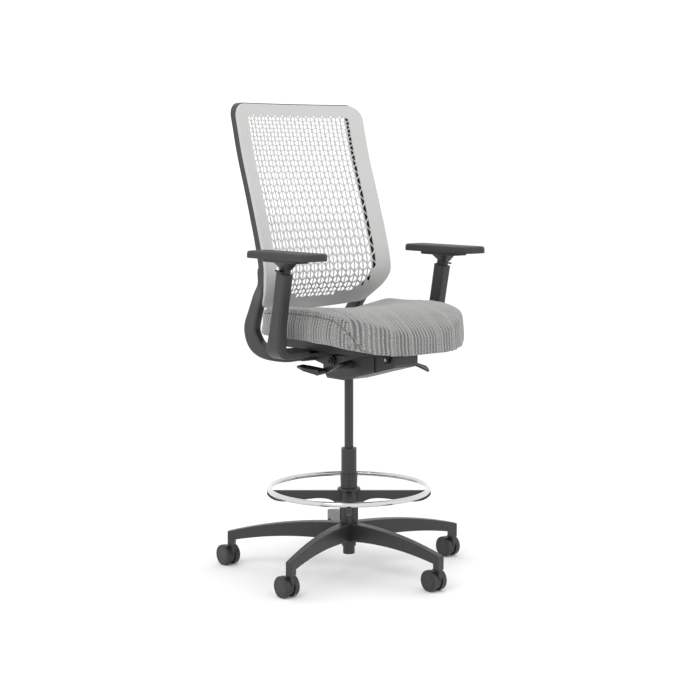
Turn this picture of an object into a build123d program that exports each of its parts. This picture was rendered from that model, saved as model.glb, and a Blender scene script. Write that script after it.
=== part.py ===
from build123d import *
import math
import os

os.makedirs("parts", exist_ok=True)

# Frame: the column axis is Z, the floor is z = 0, the sitter looks along -Y and
# the sitter's left hand is at +X. All sizes are in millimetres.

# ---------------------------------------------------------------- clearances
RUN_FIT = 0.05          # radial gap of a shaft that turns or slides in its bore
SLIDE_GAP = 0.3         # gap between faces that slide past each other
PART_GAP = 0.3          # gap between neighbouring bodies that never touch

# --------------------------------------------------------------- five-star base
BASE_ARMS = 5
BASE_TURN = -12.5       # heading of the first leg, degrees from +X
STEM_CIRCLE_R = 375.0   # caster stems lie on this radius
HUB_R = 30.0
HUB_TOP = 152.0
HUB_BOTTOM = 93.0
HUB_COLLAR_H = 7.0      # raised seat that the foot ring comes down on
LEG_ROOT_W = 36.0
LEG_TIP_W = 22.0
LEG_TIP_TOP = 110.0
LEG_TIP_DEPTH = 25.0
LEG_BLOCK = 22.0        # square socket block at the leg's end
LEG_BLOCK_BOTTOM = 68.0
LEG_ARCH = 15.0         # rise of the leg's top above its chord
LEG_WALL = 5.0
LEG_EDGE_R = 2.5

# -------------------------------------------------------------------- casters
WHEEL_R = 32.5
WHEEL_W = 17.0
WHEEL_PAIR_W = 50.0
WHEEL_EDGE_R = 3.5
WHEEL_HUB_R = 9.0
WHEEL_RIM_R = 25.5
CASTER_TRAIL = 20.0
CASTER_STEM_R = 5.5
CASTER_STEM_GRIP = 32.0   # length of stem inside the leg's socket
AXLE_R = 3.0
YOKE_WEB_W = 11.0
YOKE_NECK_W = 15.0
YOKE_NECK_L = 22.0
YOKE_R = 28.5

# ------------------------------------------------------------------- gas lift
TUBE_OD = 48.0
TUBE_WALL = 1.8
TUBE_TOP = 385.0
TUBE_TAPER_OD = 44.0
TUBE_TAPER_BOTTOM = 79.0
TUBE_FOOT_OD = 37.0
TUBE_FOOT_BOTTOM = 53.0
TUBE_FLOOR = 6.0
BUSH_LENGTH = 84.0
CYL_OD = 28.0
CYL_WALL = 2.0
CYL_TOP = 672.0
CYL_BOTTOM = 280.0
CYL_END = 10.0
PISTON_ROD_OD = 10.0
PISTON_Z = 312.0
PISTON_H = 14.0
RELEASE_PIN_R = 4.0
RELEASE_PIN_RISE = 8.0
RELEASE_PIN_LENGTH = 30.0

# ------------------------------------------------------------------ foot ring
RING_R = 247.0
RING_TUBE_R = 8.0
RING_Z = 259.5
RING_SPOKES = 4
RING_TURN = -39.6
SPOKE_TOP = 253.0
SPOKE_W_HUB = 16.0
SPOKE_W_TIP = 13.0
SPOKE_TIP_DEPTH = 12.0
SPOKE_ROOT_DEPTH = 58.0
SPOKE_OVERHANG = 8.0     # how far a spoke reaches past the ring's centreline
COLLET_WALL = 1.3
SPIDER_HUB_WALL = 2.6
COLLET_TOP = 308.0
COLLET_TOP_OD = 54.0
COLLET_FLANGE_OD = 72.0
COLLET_FLANGE_H = 9.0
COLLET_SLIT_W = 1.6
SPIDER_RIBS = 8

# ------------------------------------------------------------------ mechanism
BODY_HALF_W = 55.0
BODY_FRONT_HALF_W = 44.0
BODY_REAR_Y = 58.0
BODY_SPLIT_Y = -175.0
BODY_FRONT_Y = -268.0
BODY_BOTTOM = 606.0
BODY_FRONT_BOTTOM = 667.0
BODY_TOP_REAR = 675.0
BODY_TOP_FRONT = 700.0
BODY_WALL = 6.0
SOCKET_R = 23.0
RECLINE_Y = 10.0
RECLINE_Z = 664.0
RECLINE_BOLT_R = 6.0
RECLINE_HEAD_R = 10.0
CARRIER_PLATE_T = 8.0
CARRIER_BEAM_W = 32.0
CARRIER_BEAM_H = 42.0
CARRIER_BEAM_Y = 98.0
CARRIER_BEAM_Z = 679.0
CARRIER_BEAM_HALF = 112.0
TILT_Y = -235.0
TILT_Z = 688.0
TILT_PIN_R = 5.0
SPRING_Y = -105.0
SPRING_Z = 664.0
SPRING_R = 13.0
SPRING_WIRE_R = 2.6
SPRING_TURNS = 9

# ---------------------------------------------------------- seat plate and pan
PLATE_BOTTOM = 704.0
PLATE_T = 8.0
PLATE_HALF_W = 150.0
PLATE_FRONT_Y = -262.0
PLATE_REAR_Y = 70.0
LUG_T = 8.0
SEAT_TRAVEL = 50.0
STUD_R = 5.0
STUD_HEAD_R = 9.0
STUD_X = 100.0
STUD_YS = (-120.0, -20.0)
PAN_HALF_W = 195.0
PAN_FRONT_Y = -290.0
PAN_REAR_Y = 150.0
PAN_SKIN = 9.0

# --------------------------------------------------------------- seat cushion
SEAT_HALF_W = 252.0
SEAT_FRONT_Y = -370.0
SEAT_REAR_Y = 176.0
SEAT_CROWN_Z = 846.0
SEAT_NOSE_L = 160.0      # depth of the bowed front
SEAT_REAR_R = 84.0
SEAT_BOTTOM_Z = 745.0
SEAT_FRONT_BOTTOM_Z = 709.0
SEAT_TOP_EDGE_R = 10.0

# ----------------------------------------------------------------------- back
BACK_HALF_W = 249.0
BACK_TOP_Z = 1451.0
BACK_BOTTOM_Z = 824.0
BACK_BOTTOM_HALF_W = 205.0
BACK_WAIST_Z = 930.0
BACK_BOW = 40.0         # how much deeper the middle of the back is than its sides
BACK_SAG = 16.0         # how much lower the panel's bottom edge is in the middle
BACK_TOP_R = 46.0
BACK_LOW_R = 16.0
PANEL_T = 4.0
PANEL_RIM = 13.0
PANEL_RIM_T = 4.0
FRAME_W = 28.0
FRAME_DEPTH = 25.0
FLANGE_W = 50.0          # reach of the frame's thin inner flange at the sides
FLANGE_TOP = 33.0        # its reach along the top
FLANGE_T = 4.0
# side view of the panel's front face at its edges: (z, y)
BACK_PROFILE = [
    (790.0, 186.0), (806.0, 171.0), (826.0, 155.0), (850.0, 132.0), (887.0, 103.0),
    (927.0, 90.0), (967.0, 93.0), (1041.0, 113.0), (1166.0, 154.0), (1295.0, 199.0),
    (1442.0, 238.0), (1465.0, 243.0),
]

# ----------------------------------------------------------------------- arms
ARM_X = 312.0
ARM_TOP = (-84.0, 948.0)      # y, z of the centre of the post's top face
ARM_LOW = (-47.0, 755.0)      # y, z where the post starts to turn inward
POST_TOP_DEPTH = 48.0
POST_LOW_DEPTH = 57.0
POST_THICK = 33.0
ARM_REACH_Z = 703.5
ARM_REACH_SIZE = (70.0, 25.0)
ARM_REACH_Y = -40.0
ARM_REACH_END_X = 212.0
ARM_TONGUE_END_X = 112.0
ELBOW_OUTER_R = 40.0
ELBOW_INNER_R = 14.0
ARM_EDGE_R = 8.0
STEM_SIZE = (38.0, 22.0)
STEM_DEPTH = 128.0
STEM_RISE = 16.0
BRACKET_TOP_Z = 989.0
BRACKET_PLATE = (168.0, 62.0, 9.0)
BRACKET_Y = -89.0
KEY_SIZE = (60.0, 10.0, 5.0)
PAD_TRAVEL = 25.0
PAD_LENGTH = 298.0
PAD_WIDTH = 92.0
PAD_T = 22.0
PAD_Y = -93.0
PAD_CORNER_R = 26.0
TRIGGER_T = 4.0
TRIGGER_W = 12.0
TRIGGER_TRAVEL = 3.0
SCREW_HEAD_R = 5.0

# --------------------------------------------------------------------- levers
LEVER_Y = -77.0
LEVER_Z = 661.0
LEVER_DROOP = 6.5
LEVER_SHAFT_R = 5.0
LEVER_SLEEVE_L = 84.0
LEVER_SLEEVE_R = (13.0, 9.5)
PADDLE_HUB_R = 9.0
PADDLE_HUB_L = (20.0, 30.0)
PADDLE_REACH = (76.0, 98.0)
PADDLE_FALL = (20.0, 5.0)
LOCK_LEVER_Y = -205.0
LOCK_LEVER_Z = 676.0
LOCK_LEVER_FALL = 21.0
LOCK_LEVER_ROLL = 38.0
LOCK_LEVER_L = 96.0
LOCK_HUB_R = 7.0
LOCK_HUB_L = 16.0
LOCK_EAR_T = 5.0


def save(name, shape):
    export_step(shape, f"parts/{name}.step")


def cyl(radius, z0, z1, x=0.0, y=0.0):
    body = Cylinder(radius, z1 - z0, align=(Align.CENTER, Align.CENTER, Align.MIN))
    return Pos(x, y, z0) * body


def cyl_x(radius, x0, x1, y, z):
    body = Cylinder(radius, x1 - x0, align=(Align.CENTER, Align.CENTER, Align.MIN))
    return Pos(x0, y, z) * Rot(0, 90, 0) * body


def block(x0, x1, y0, y1, z0, z1):
    body = Box(x1 - x0, y1 - y0, z1 - z0)
    return Pos((x0 + x1) / 2, (y0 + y1) / 2, (z0 + z1) / 2) * body


def side_prism(outline, half_w, x_mid=0.0):
    """Extrude a closed (y, z) outline both ways along X."""
    face = make_face(Polyline(*outline, close=True))
    return Pos(x_mid, 0, 0) * extrude(Plane.YZ * face, amount=half_w, both=True)


def plan_prism(outline, z0, z1):
    """Extrude a closed (x, y) outline upward."""
    face = make_face(Polyline(*outline, close=True))
    return Pos(0, 0, z0) * extrude(face, amount=z1 - z0)


def section(origin, along, across, size, radius):
    """Rounded rectangle: size[0] lies across, size[1] squares up to it."""
    along = Vector(*along).normalized()
    across = Vector(*across)
    across = (across - along * across.dot(along)).normalized()
    plane = Plane(origin=origin, x_dir=across, z_dir=along)
    return plane * RectangleRounded(size[0], size[1], radius)


def mirrored_x(shape):
    return mirror(shape, about=Plane.YZ)


# =============================================================== five-star base
def leg_profile():
    """Side view of one leg, drawn in the (radius, height) plane."""
    tip_r = STEM_CIRCLE_R + LEG_BLOCK / 2
    inner_r = STEM_CIRCLE_R - LEG_BLOCK / 2
    low_tip = LEG_TIP_TOP - LEG_TIP_DEPTH
    mid_r = tip_r / 2
    top_mid = (HUB_TOP + LEG_TIP_TOP) / 2 + LEG_ARCH
    low_mid = (HUB_BOTTOM + low_tip) / 2 + LEG_ARCH
    top = Spline((0, HUB_TOP), (mid_r, top_mid), (tip_r, LEG_TIP_TOP))
    end = Polyline((tip_r, LEG_TIP_TOP), (tip_r, LEG_BLOCK_BOTTOM),
                   (inner_r, LEG_BLOCK_BOTTOM), (inner_r, low_tip))
    low = Spline((inner_r, low_tip), (mid_r, low_mid), (0, HUB_BOTTOM))
    root = Line((0, HUB_BOTTOM), (0, HUB_TOP))
    return make_face((top + end + low + root).edges())


def leg_pocket():
    """Hollow on the leg's underside, between hub and socket block."""
    start_r = HUB_R + LEG_WALL
    stop_r = STEM_CIRCLE_R - LEG_BLOCK / 2 - LEG_WALL
    span = STEM_CIRCLE_R + LEG_BLOCK / 2

    def roof(radius):
        share = radius / span
        chord = HUB_TOP + (LEG_TIP_TOP - HUB_TOP) * share
        return chord + LEG_ARCH * 4 * share * (1 - share) - LEG_WALL - 1.0

    radii = [start_r + (stop_r - start_r) * step / 4 for step in range(5)]
    top = Spline(*[(radius, roof(radius)) for radius in radii])
    sides = Polyline((stop_r, roof(stop_r)), (stop_r, LEG_BLOCK_BOTTOM),
                     (start_r, LEG_BLOCK_BOTTOM), (start_r, roof(start_r)))
    face = make_face((top + sides).edges())
    half = LEG_TIP_W / 2 - LEG_WALL
    return extrude(Plane.XZ * face, amount=half, both=True)


def make_leg():
    tip_r = STEM_CIRCLE_R + LEG_BLOCK / 2
    body = extrude(Plane.XZ * leg_profile(), amount=LEG_ROOT_W, both=True)
    plan = plan_prism([(0, -LEG_ROOT_W / 2), (tip_r, -LEG_TIP_W / 2),
                       (tip_r, LEG_TIP_W / 2), (0, LEG_ROOT_W / 2)],
                      LEG_BLOCK_BOTTOM - 10, HUB_TOP + 20)
    body = body & plan
    long_top = [edge for edge in body.edges()
                if edge.length > STEM_CIRCLE_R / 2 and edge.center().Z > LEG_TIP_TOP]
    body = fillet(long_top, LEG_EDGE_R)
    body = body - leg_pocket()
    socket_r = CASTER_STEM_R + RUN_FIT
    return body - cyl(socket_r, LEG_BLOCK_BOTTOM - 1, LEG_BLOCK_BOTTOM + CASTER_STEM_GRIP + 1,
                      STEM_CIRCLE_R)


def gas_tube_outside(grow=0.0):
    taper_h = HUB_TOP - TUBE_TAPER_BOTTOM
    taper = Cone(TUBE_TAPER_OD / 2 + grow, TUBE_OD / 2 + grow, taper_h,
                 align=(Align.CENTER, Align.CENTER, Align.MIN))
    body = Pos(0, 0, TUBE_TAPER_BOTTOM) * taper
    return body + cyl(TUBE_OD / 2 + grow, HUB_TOP, TUBE_TOP)


leg_headings = [BASE_TURN + 360.0 / BASE_ARMS * index for index in range(BASE_ARMS)]
hub = cyl(HUB_R, HUB_BOTTOM, HUB_TOP)
hub = hub + cyl(TUBE_OD / 2 + 3.0, HUB_TOP, HUB_TOP + HUB_COLLAR_H)
one_leg = make_leg()
base_star = hub + [Rot(0, 0, heading) * one_leg for heading in leg_headings]
base_star = base_star - gas_tube_outside()
save("base_star", base_star)

# ===================================================================== casters
wheel_inner_x = WHEEL_PAIR_W / 2 - WHEEL_W
axle_half = WHEEL_PAIR_W / 2 - 4.0
stem_bottom = WHEEL_R + AXLE_R + 4.0
stem_top = LEG_BLOCK_BOTTOM + CASTER_STEM_GRIP
yoke_top = LEG_BLOCK_BOTTOM - PART_GAP


def make_wheel():
    """Wheel on the +X side, its axle along X through the local origin."""
    body = cyl_x(WHEEL_R, wheel_inner_x, wheel_inner_x + WHEEL_W, 0, 0)
    outer = body.faces().sort_by(Axis.X)[-1]
    body = fillet(outer.edges(), WHEEL_EDGE_R)
    inner = body.faces().sort_by(Axis.X)[0]
    body = fillet(inner.edges(), WHEEL_EDGE_R / 3)
    pocket = cyl_x(WHEEL_RIM_R, wheel_inner_x - 1, wheel_inner_x + WHEEL_W - 5, 0, 0)
    pocket = pocket - cyl_x(WHEEL_HUB_R, wheel_inner_x - 2, wheel_inner_x + WHEEL_W, 0, 0)
    groove_x = wheel_inner_x + WHEEL_W
    groove = cyl_x(WHEEL_RIM_R + 0.8, groove_x - 0.8, groove_x + 1, 0, 0)
    groove = groove - cyl_x(WHEEL_RIM_R - 0.8, groove_x - 2, groove_x + 2, 0, 0)
    bore = cyl_x(AXLE_R + RUN_FIT, wheel_inner_x - 1, axle_half + PART_GAP, 0, 0)
    return body - pocket - groove - bore


def make_yoke():
    """Yoke of a caster whose stem stands on the local Z axis."""
    web = cyl_x(YOKE_R, -YOKE_WEB_W / 2, YOKE_WEB_W / 2, CASTER_TRAIL, WHEEL_R)
    front = -YOKE_NECK_L / 2
    spine = side_prism([(front, yoke_top), (front, WHEEL_R + 8), (CASTER_TRAIL - YOKE_R + 6, WHEEL_R - 6),
                        (CASTER_TRAIL, WHEEL_R), (YOKE_NECK_L / 2 + 4, WHEEL_R + YOKE_R - 3),
                        (YOKE_NECK_L / 2, yoke_top)], YOKE_WEB_W / 2)
    neck = side_prism([(front, yoke_top), (front, WHEEL_R + 14), (0, WHEEL_R + 8),
                       (YOKE_NECK_L / 2, WHEEL_R + 14), (YOKE_NECK_L / 2, yoke_top)],
                      YOKE_NECK_W / 2)
    upright = [edge for edge in neck.edges() if abs(edge.tangent_at(0.5).Z) > 0.99]
    body = web + spine + fillet(upright, 2.0)
    body = body - cyl(CASTER_STEM_R, stem_bottom, yoke_top + 1)
    return body - cyl_x(AXLE_R, -YOKE_WEB_W, YOKE_WEB_W, CASTER_TRAIL, WHEEL_R)


one_yoke = make_yoke()
one_stem = cyl(CASTER_STEM_R, stem_bottom, stem_top)
one_stem = chamfer(one_stem.faces().sort_by(Axis.Z)[-1].edges(), 1.0)
one_axle = cyl_x(AXLE_R, -axle_half, axle_half, CASTER_TRAIL, WHEEL_R)
left_wheel = Pos(0, CASTER_TRAIL, WHEEL_R) * make_wheel()
right_wheel = Pos(0, CASTER_TRAIL, WHEEL_R) * mirrored_x(make_wheel())
for number, heading in enumerate(leg_headings, start=1):
    place = Pos(STEM_CIRCLE_R * math.cos(math.radians(heading)),
                STEM_CIRCLE_R * math.sin(math.radians(heading)), 0)
    save(f"caster_{number}_yoke", place * one_yoke)
    save(f"caster_{number}_stem", place * one_stem)
    save(f"caster_{number}_axle", place * one_axle)
    save(f"caster_{number}_wheel_left", place * left_wheel)
    save(f"caster_{number}_wheel_right", place * right_wheel)

# ==================================================================== gas lift
tube_bore_r = TUBE_OD / 2 - TUBE_WALL
gas_tube = gas_tube_outside() + cyl(TUBE_FOOT_OD / 2, TUBE_FOOT_BOTTOM, TUBE_TAPER_BOTTOM)
inside = Pos(0, 0, TUBE_TAPER_BOTTOM) * Cone(
    TUBE_FOOT_OD / 2 - TUBE_WALL, tube_bore_r, HUB_TOP - TUBE_TAPER_BOTTOM,
    align=(Align.CENTER, Align.CENTER, Align.MIN))
inside = inside + cyl(tube_bore_r, HUB_TOP, TUBE_TOP + 1)
inside = inside + cyl(TUBE_FOOT_OD / 2 - TUBE_WALL, TUBE_FOOT_BOTTOM + TUBE_FLOOR, TUBE_TAPER_BOTTOM)
gas_tube = gas_tube - inside
gas_tube = chamfer(gas_tube.faces().sort_by(Axis.Z)[0].edges().sort_by(Edge.length)[-1], 1.5)
save("gas_tube", gas_tube)

bush_bottom = TUBE_TOP - BUSH_LENGTH
guide_bush = cyl(tube_bore_r, bush_bottom, TUBE_TOP) + cyl(TUBE_OD / 2, TUBE_TOP, TUBE_TOP + 3)
guide_bush = guide_bush - cyl(CYL_OD / 2 + RUN_FIT, bush_bottom - 1, TUBE_TOP + 4)
save("guide_bush", guide_bush)

rod_foot = TUBE_FOOT_BOTTOM + TUBE_FLOOR
piston_rod = cyl(PISTON_ROD_OD / 2, rod_foot, PISTON_Z + 1)
piston_rod = piston_rod + cyl(PISTON_ROD_OD, rod_foot, rod_foot + 5)
piston_rod = piston_rod + cyl(CYL_OD / 2 - CYL_WALL - RUN_FIT, PISTON_Z, PISTON_Z + PISTON_H)
save("piston_rod", piston_rod)

pin_seat = CYL_TOP - RELEASE_PIN_LENGTH + RELEASE_PIN_RISE
gas_cylinder = cyl(CYL_OD / 2, CYL_BOTTOM, CYL_TOP)
gas_cylinder = gas_cylinder - cyl(CYL_OD / 2 - CYL_WALL, CYL_BOTTOM + CYL_END, pin_seat - 16)
gas_cylinder = gas_cylinder - cyl(PISTON_ROD_OD / 2 + RUN_FIT, CYL_BOTTOM - 1, CYL_BOTTOM + CYL_END + 1)
gas_cylinder = gas_cylinder - cyl(RELEASE_PIN_R + RUN_FIT, pin_seat - 6, CYL_TOP + 1)
save("gas_cylinder", gas_cylinder)

release_pin = cyl(RELEASE_PIN_R, pin_seat, CYL_TOP + RELEASE_PIN_RISE)
release_pin = chamfer(release_pin.faces().sort_by(Axis.Z)[-1].edges(), 0.8)
save("gas_release_pin", release_pin)

# =================================================================== foot ring
seat_z = HUB_TOP + HUB_COLLAR_H + PART_GAP
collet_bore_r = TUBE_OD / 2 + SLIDE_GAP
collet_r = collet_bore_r + COLLET_WALL
flange_z = SPOKE_TOP + PART_GAP
cone_z = flange_z + COLLET_FLANGE_H
collet = cyl(collet_r, seat_z, cone_z)
collet = collet + cyl(COLLET_FLANGE_OD / 2, flange_z, cone_z)
collet = collet + Pos(0, 0, cone_z) * Cone(
    collet_r + 0.4, COLLET_TOP_OD / 2, COLLET_TOP - cone_z,
    align=(Align.CENTER, Align.CENTER, Align.MIN))
flange_edges = [edge for edge in collet.edges()
                if abs(edge.length - math.pi * COLLET_FLANGE_OD) < 0.5]
collet = fillet(flange_edges, 3.0)
collet = collet - cyl(collet_bore_r, seat_z - 1, COLLET_TOP + 1)
slit = block(collet_bore_r - 3, COLLET_TOP_OD, -COLLET_SLIT_W / 2, COLLET_SLIT_W / 2,
             cone_z + 3, COLLET_TOP + 1)
for quarter in range(4):
    collet = collet - Rot(0, 0, RING_TURN - 90 + 90 * quarter) * slit
save("ring_collet", collet)

spider_bore_r = collet_r + RUN_FIT
spider_hub_r = spider_bore_r + SPIDER_HUB_WALL
spider_foot_z = seat_z
spoke_end_r = RING_R + SPOKE_OVERHANG


def make_spoke():
    top = Line((0, SPOKE_TOP), (spoke_end_r, SPOKE_TOP))
    tip = Line((spoke_end_r, SPOKE_TOP), (spoke_end_r, SPOKE_TOP - SPOKE_TIP_DEPTH))
    low = Spline((spoke_end_r, SPOKE_TOP - SPOKE_TIP_DEPTH),
                 (spoke_end_r * 0.45, SPOKE_TOP - SPOKE_TIP_DEPTH * 2.1),
                 (spider_hub_r + 16, SPOKE_TOP - SPOKE_ROOT_DEPTH * 0.62),
                 (spider_hub_r - 2, SPOKE_TOP - SPOKE_ROOT_DEPTH))
    root = Polyline((spider_hub_r - 2, SPOKE_TOP - SPOKE_ROOT_DEPTH),
                    (0, SPOKE_TOP - SPOKE_ROOT_DEPTH), (0, SPOKE_TOP))
    face = make_face((top + tip + low + root).edges())
    body = extrude(Plane.XZ * face, amount=SPOKE_W_HUB, both=True)
    return body & plan_prism([(0, -SPOKE_W_HUB / 2), (spoke_end_r, -SPOKE_W_TIP / 2),
                              (spoke_end_r, SPOKE_W_TIP / 2), (0, SPOKE_W_HUB / 2)], 0, 400)


spider = cyl(spider_hub_r, spider_foot_z, SPOKE_TOP)
one_spoke = make_spoke()
for number in range(RING_SPOKES):
    spider = spider + Rot(0, 0, RING_TURN + 360 / RING_SPOKES * number) * one_spoke
rib = block(spider_hub_r - 1, spider_hub_r + 2.0, -2, 2, spider_foot_z + 4,
            SPOKE_TOP - SPOKE_ROOT_DEPTH + 20)
for number in range(SPIDER_RIBS):
    spider = spider + Rot(0, 0, RING_TURN + 360 / SPIDER_RIBS * (number + 0.5)) * rib
spider = spider - cyl(spider_bore_r, spider_foot_z - 1, SPOKE_TOP + 1)
foot_ring = Pos(0, 0, RING_Z) * Torus(RING_R, RING_TUBE_R)
spider = spider - foot_ring
foot_ring = foot_ring - Pos(0, 0, RING_Z) * Torus(RING_R, RING_TUBE_R - 1.5)
save("ring_spider", spider)
save("foot_ring", foot_ring)

# =================================================================== mechanism
def body_bottom_at(y):
    """Height of the mechanism's underside at a given y."""
    start = -30.0
    share = max(0.0, (start - y) / (start - BODY_FRONT_Y))
    return BODY_BOTTOM + (BODY_FRONT_BOTTOM - BODY_BOTTOM) * share


def body_top_at(y):
    share = (BODY_REAR_Y - y) / (BODY_REAR_Y - BODY_FRONT_Y)
    return BODY_TOP_REAR + (BODY_TOP_FRONT - BODY_TOP_REAR) * share


housing = side_prism([
    (BODY_REAR_Y, body_top_at(BODY_REAR_Y)), (BODY_REAR_Y, BODY_BOTTOM + 16),
    (BODY_REAR_Y - 14, BODY_BOTTOM), (-30, BODY_BOTTOM),
    (BODY_SPLIT_Y, body_bottom_at(BODY_SPLIT_Y)), (BODY_SPLIT_Y, body_top_at(BODY_SPLIT_Y)),
], BODY_HALF_W)
taper_y = BODY_SPLIT_Y + 60
housing = housing & plan_prism([
    (BODY_HALF_W, BODY_REAR_Y), (BODY_HALF_W, taper_y),
    (BODY_FRONT_HALF_W + 4, BODY_SPLIT_Y), (-BODY_FRONT_HALF_W - 4, BODY_SPLIT_Y),
    (-BODY_HALF_W, taper_y), (-BODY_HALF_W, BODY_REAR_Y)], 560, 720)
low_edges = [edge for edge in housing.edges()
             if edge.center().Z < BODY_BOTTOM + 30 and abs(edge.center().X) > BODY_HALF_W - 12]
housing = fillet(low_edges, 8.0)
cavity = side_prism([
    (BODY_REAR_Y - BODY_WALL, 740), (BODY_REAR_Y - BODY_WALL, BODY_BOTTOM + 22),
    (BODY_REAR_Y - BODY_WALL - 12, BODY_BOTTOM + BODY_WALL + 2), (-28, BODY_BOTTOM + BODY_WALL + 2),
    (BODY_SPLIT_Y + BODY_WALL, body_bottom_at(BODY_SPLIT_Y) + BODY_WALL + 2),
    (BODY_SPLIT_Y + BODY_WALL, 740)], BODY_FRONT_HALF_W - BODY_WALL + 2)
housing = housing - cavity
socket = cyl(SOCKET_R, BODY_BOTTOM, CYL_TOP - 4)
housing = housing + socket
housing = housing - cyl(CYL_OD / 2 + RUN_FIT, BODY_BOTTOM - 1, CYL_TOP + 1)

lever_root = Pos(-BODY_HALF_W, LEVER_Y, LEVER_Z) * Rot(0, -90 - LEVER_DROOP, 0)
spring_arbor_r = SPRING_R - SPRING_WIRE_R - 1.0
lever_bore = lever_root * cyl(LEVER_SHAFT_R, -12, 4)
arbor_half = BODY_FRONT_HALF_W + 4
arbor = cyl_x(spring_arbor_r, -arbor_half, arbor_half, SPRING_Y, SPRING_Z)
bolt_root_x = BODY_FRONT_HALF_W
bolt_bore = cyl_x(RECLINE_BOLT_R, bolt_root_x, BODY_HALF_W + 1, RECLINE_Y, RECLINE_Z)
housing = housing - lever_bore - arbor - bolt_bore - mirrored_x(bolt_bore)
save("mechanism_housing", housing)

front_cover = side_prism([
    (BODY_SPLIT_Y, body_top_at(BODY_SPLIT_Y)), (BODY_SPLIT_Y, body_bottom_at(BODY_SPLIT_Y)),
    (BODY_FRONT_Y + 6, body_bottom_at(BODY_FRONT_Y + 6)), (BODY_FRONT_Y, BODY_FRONT_BOTTOM + 8),
    (BODY_FRONT_Y, BODY_TOP_FRONT)], BODY_FRONT_HALF_W)
cover_long = [edge for edge in front_cover.edges().filter_by(Axis.X)
              if edge.center().Y < BODY_SPLIT_Y - 20]
front_cover = fillet(cover_long, 3.0)
tilt_bore = cyl_x(TILT_PIN_R, -BODY_HALF_W - 20, BODY_HALF_W + 20, TILT_Y, TILT_Z)
cover_half = BODY_FRONT_HALF_W - BODY_WALL
hollow = block(-cover_half, cover_half, TILT_Y + 12, BODY_SPLIT_Y - BODY_WALL,
               BODY_FRONT_BOTTOM + 2, BODY_TOP_FRONT + 4)
front_cover = front_cover - hollow - tilt_bore

plate_x = BODY_HALF_W + PART_GAP * 2
bolt = cyl_x(RECLINE_BOLT_R, bolt_root_x, plate_x + CARRIER_PLATE_T + PART_GAP, RECLINE_Y, RECLINE_Z)
bolt_head_x = plate_x + CARRIER_PLATE_T + PART_GAP
bolt_head = cyl_x(RECLINE_HEAD_R, bolt_head_x, bolt_head_x + 5, RECLINE_Y, RECLINE_Z)
bolt_head = chamfer(bolt_head.faces().sort_by(Axis.X)[-1].edges(), 1.2)
hex_hole = extrude(RegularPolygon(4, 6), amount=4)
hex_hole = Pos(bolt_head_x + 2, RECLINE_Y, RECLINE_Z) * Rot(0, 90, 0) * hex_hole
left_bolt = bolt + bolt_head - hex_hole
save("recline_bolts", Compound([left_bolt, mirrored_x(left_bolt)]))

lug_x = BODY_FRONT_HALF_W + PART_GAP * 2
tilt_pin_half = lug_x + LUG_T + 3
tilt_pin = cyl_x(TILT_PIN_R, -tilt_pin_half, tilt_pin_half, TILT_Y, TILT_Z)
save("seat_tilt_pin", tilt_pin)

coil_length = 2 * (BODY_FRONT_HALF_W - BODY_WALL - 8)
coil_path = Helix(pitch=coil_length / SPRING_TURNS, height=coil_length, radius=SPRING_R)
coil_start = coil_path @ 0
coil_dir = coil_path % 0
coil_wire = Plane(origin=coil_start, z_dir=coil_dir) * Circle(SPRING_WIRE_R)
coil = sweep(coil_wire, path=coil_path, is_frenet=True)
coil = Pos(-coil_length / 2, SPRING_Y, SPRING_Z) * Rot(0, 90, 0) * coil
spring_core = cyl_x(spring_arbor_r, -arbor_half, arbor_half, SPRING_Y, SPRING_Z)
save("tilt_spring", Compound([coil.solid(), spring_core.solid()]))

# ---------------------------------------------------------------- back carrier
beam_front = CARRIER_BEAM_Y - CARRIER_BEAM_W / 2
beam_rear = CARRIER_BEAM_Y + CARRIER_BEAM_W / 2
beam = block(-CARRIER_BEAM_HALF, CARRIER_BEAM_HALF, beam_front, beam_rear,
             CARRIER_BEAM_Z - CARRIER_BEAM_H / 2, CARRIER_BEAM_Z + CARRIER_BEAM_H / 2)
beam = fillet(beam.edges().filter_by(Axis.X), 6.0)
eye_r = RECLINE_HEAD_R + 5
link = side_prism([
    (RECLINE_Y, RECLINE_Z + eye_r), (RECLINE_Y, RECLINE_Z - eye_r),
    (RECLINE_Y + 40, CARRIER_BEAM_Z - CARRIER_BEAM_H / 2 - 8),
    (beam_rear - 6, CARRIER_BEAM_Z - CARRIER_BEAM_H / 2 + 4),
    (beam_rear - 6, CARRIER_BEAM_Z + CARRIER_BEAM_H / 2 - 4),
    (beam_front, CARRIER_BEAM_Z + CARRIER_BEAM_H / 2 - 4)], CARRIER_PLATE_T / 2,
    plate_x + CARRIER_PLATE_T / 2)
link = link + cyl_x(eye_r, plate_x, plate_x + CARRIER_PLATE_T, RECLINE_Y, RECLINE_Z)
link = link - cyl_x(RECLINE_BOLT_R + RUN_FIT, plate_x - 1, plate_x + CARRIER_PLATE_T + 1,
                    RECLINE_Y, RECLINE_Z)
back_carrier = beam + link + mirrored_x(link)
save("back_carrier", back_carrier)

# ======================================================================== back
def profile_y(z):
    """Panel front face at its side edges, read off the side-view points."""
    for (z0, y0), (z1, y1) in zip(BACK_PROFILE, BACK_PROFILE[1:]):
        if z <= z1:
            return y0 + (y1 - y0) * (z - z0) / (z1 - z0)
    return BACK_PROFILE[-1][1]


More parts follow.
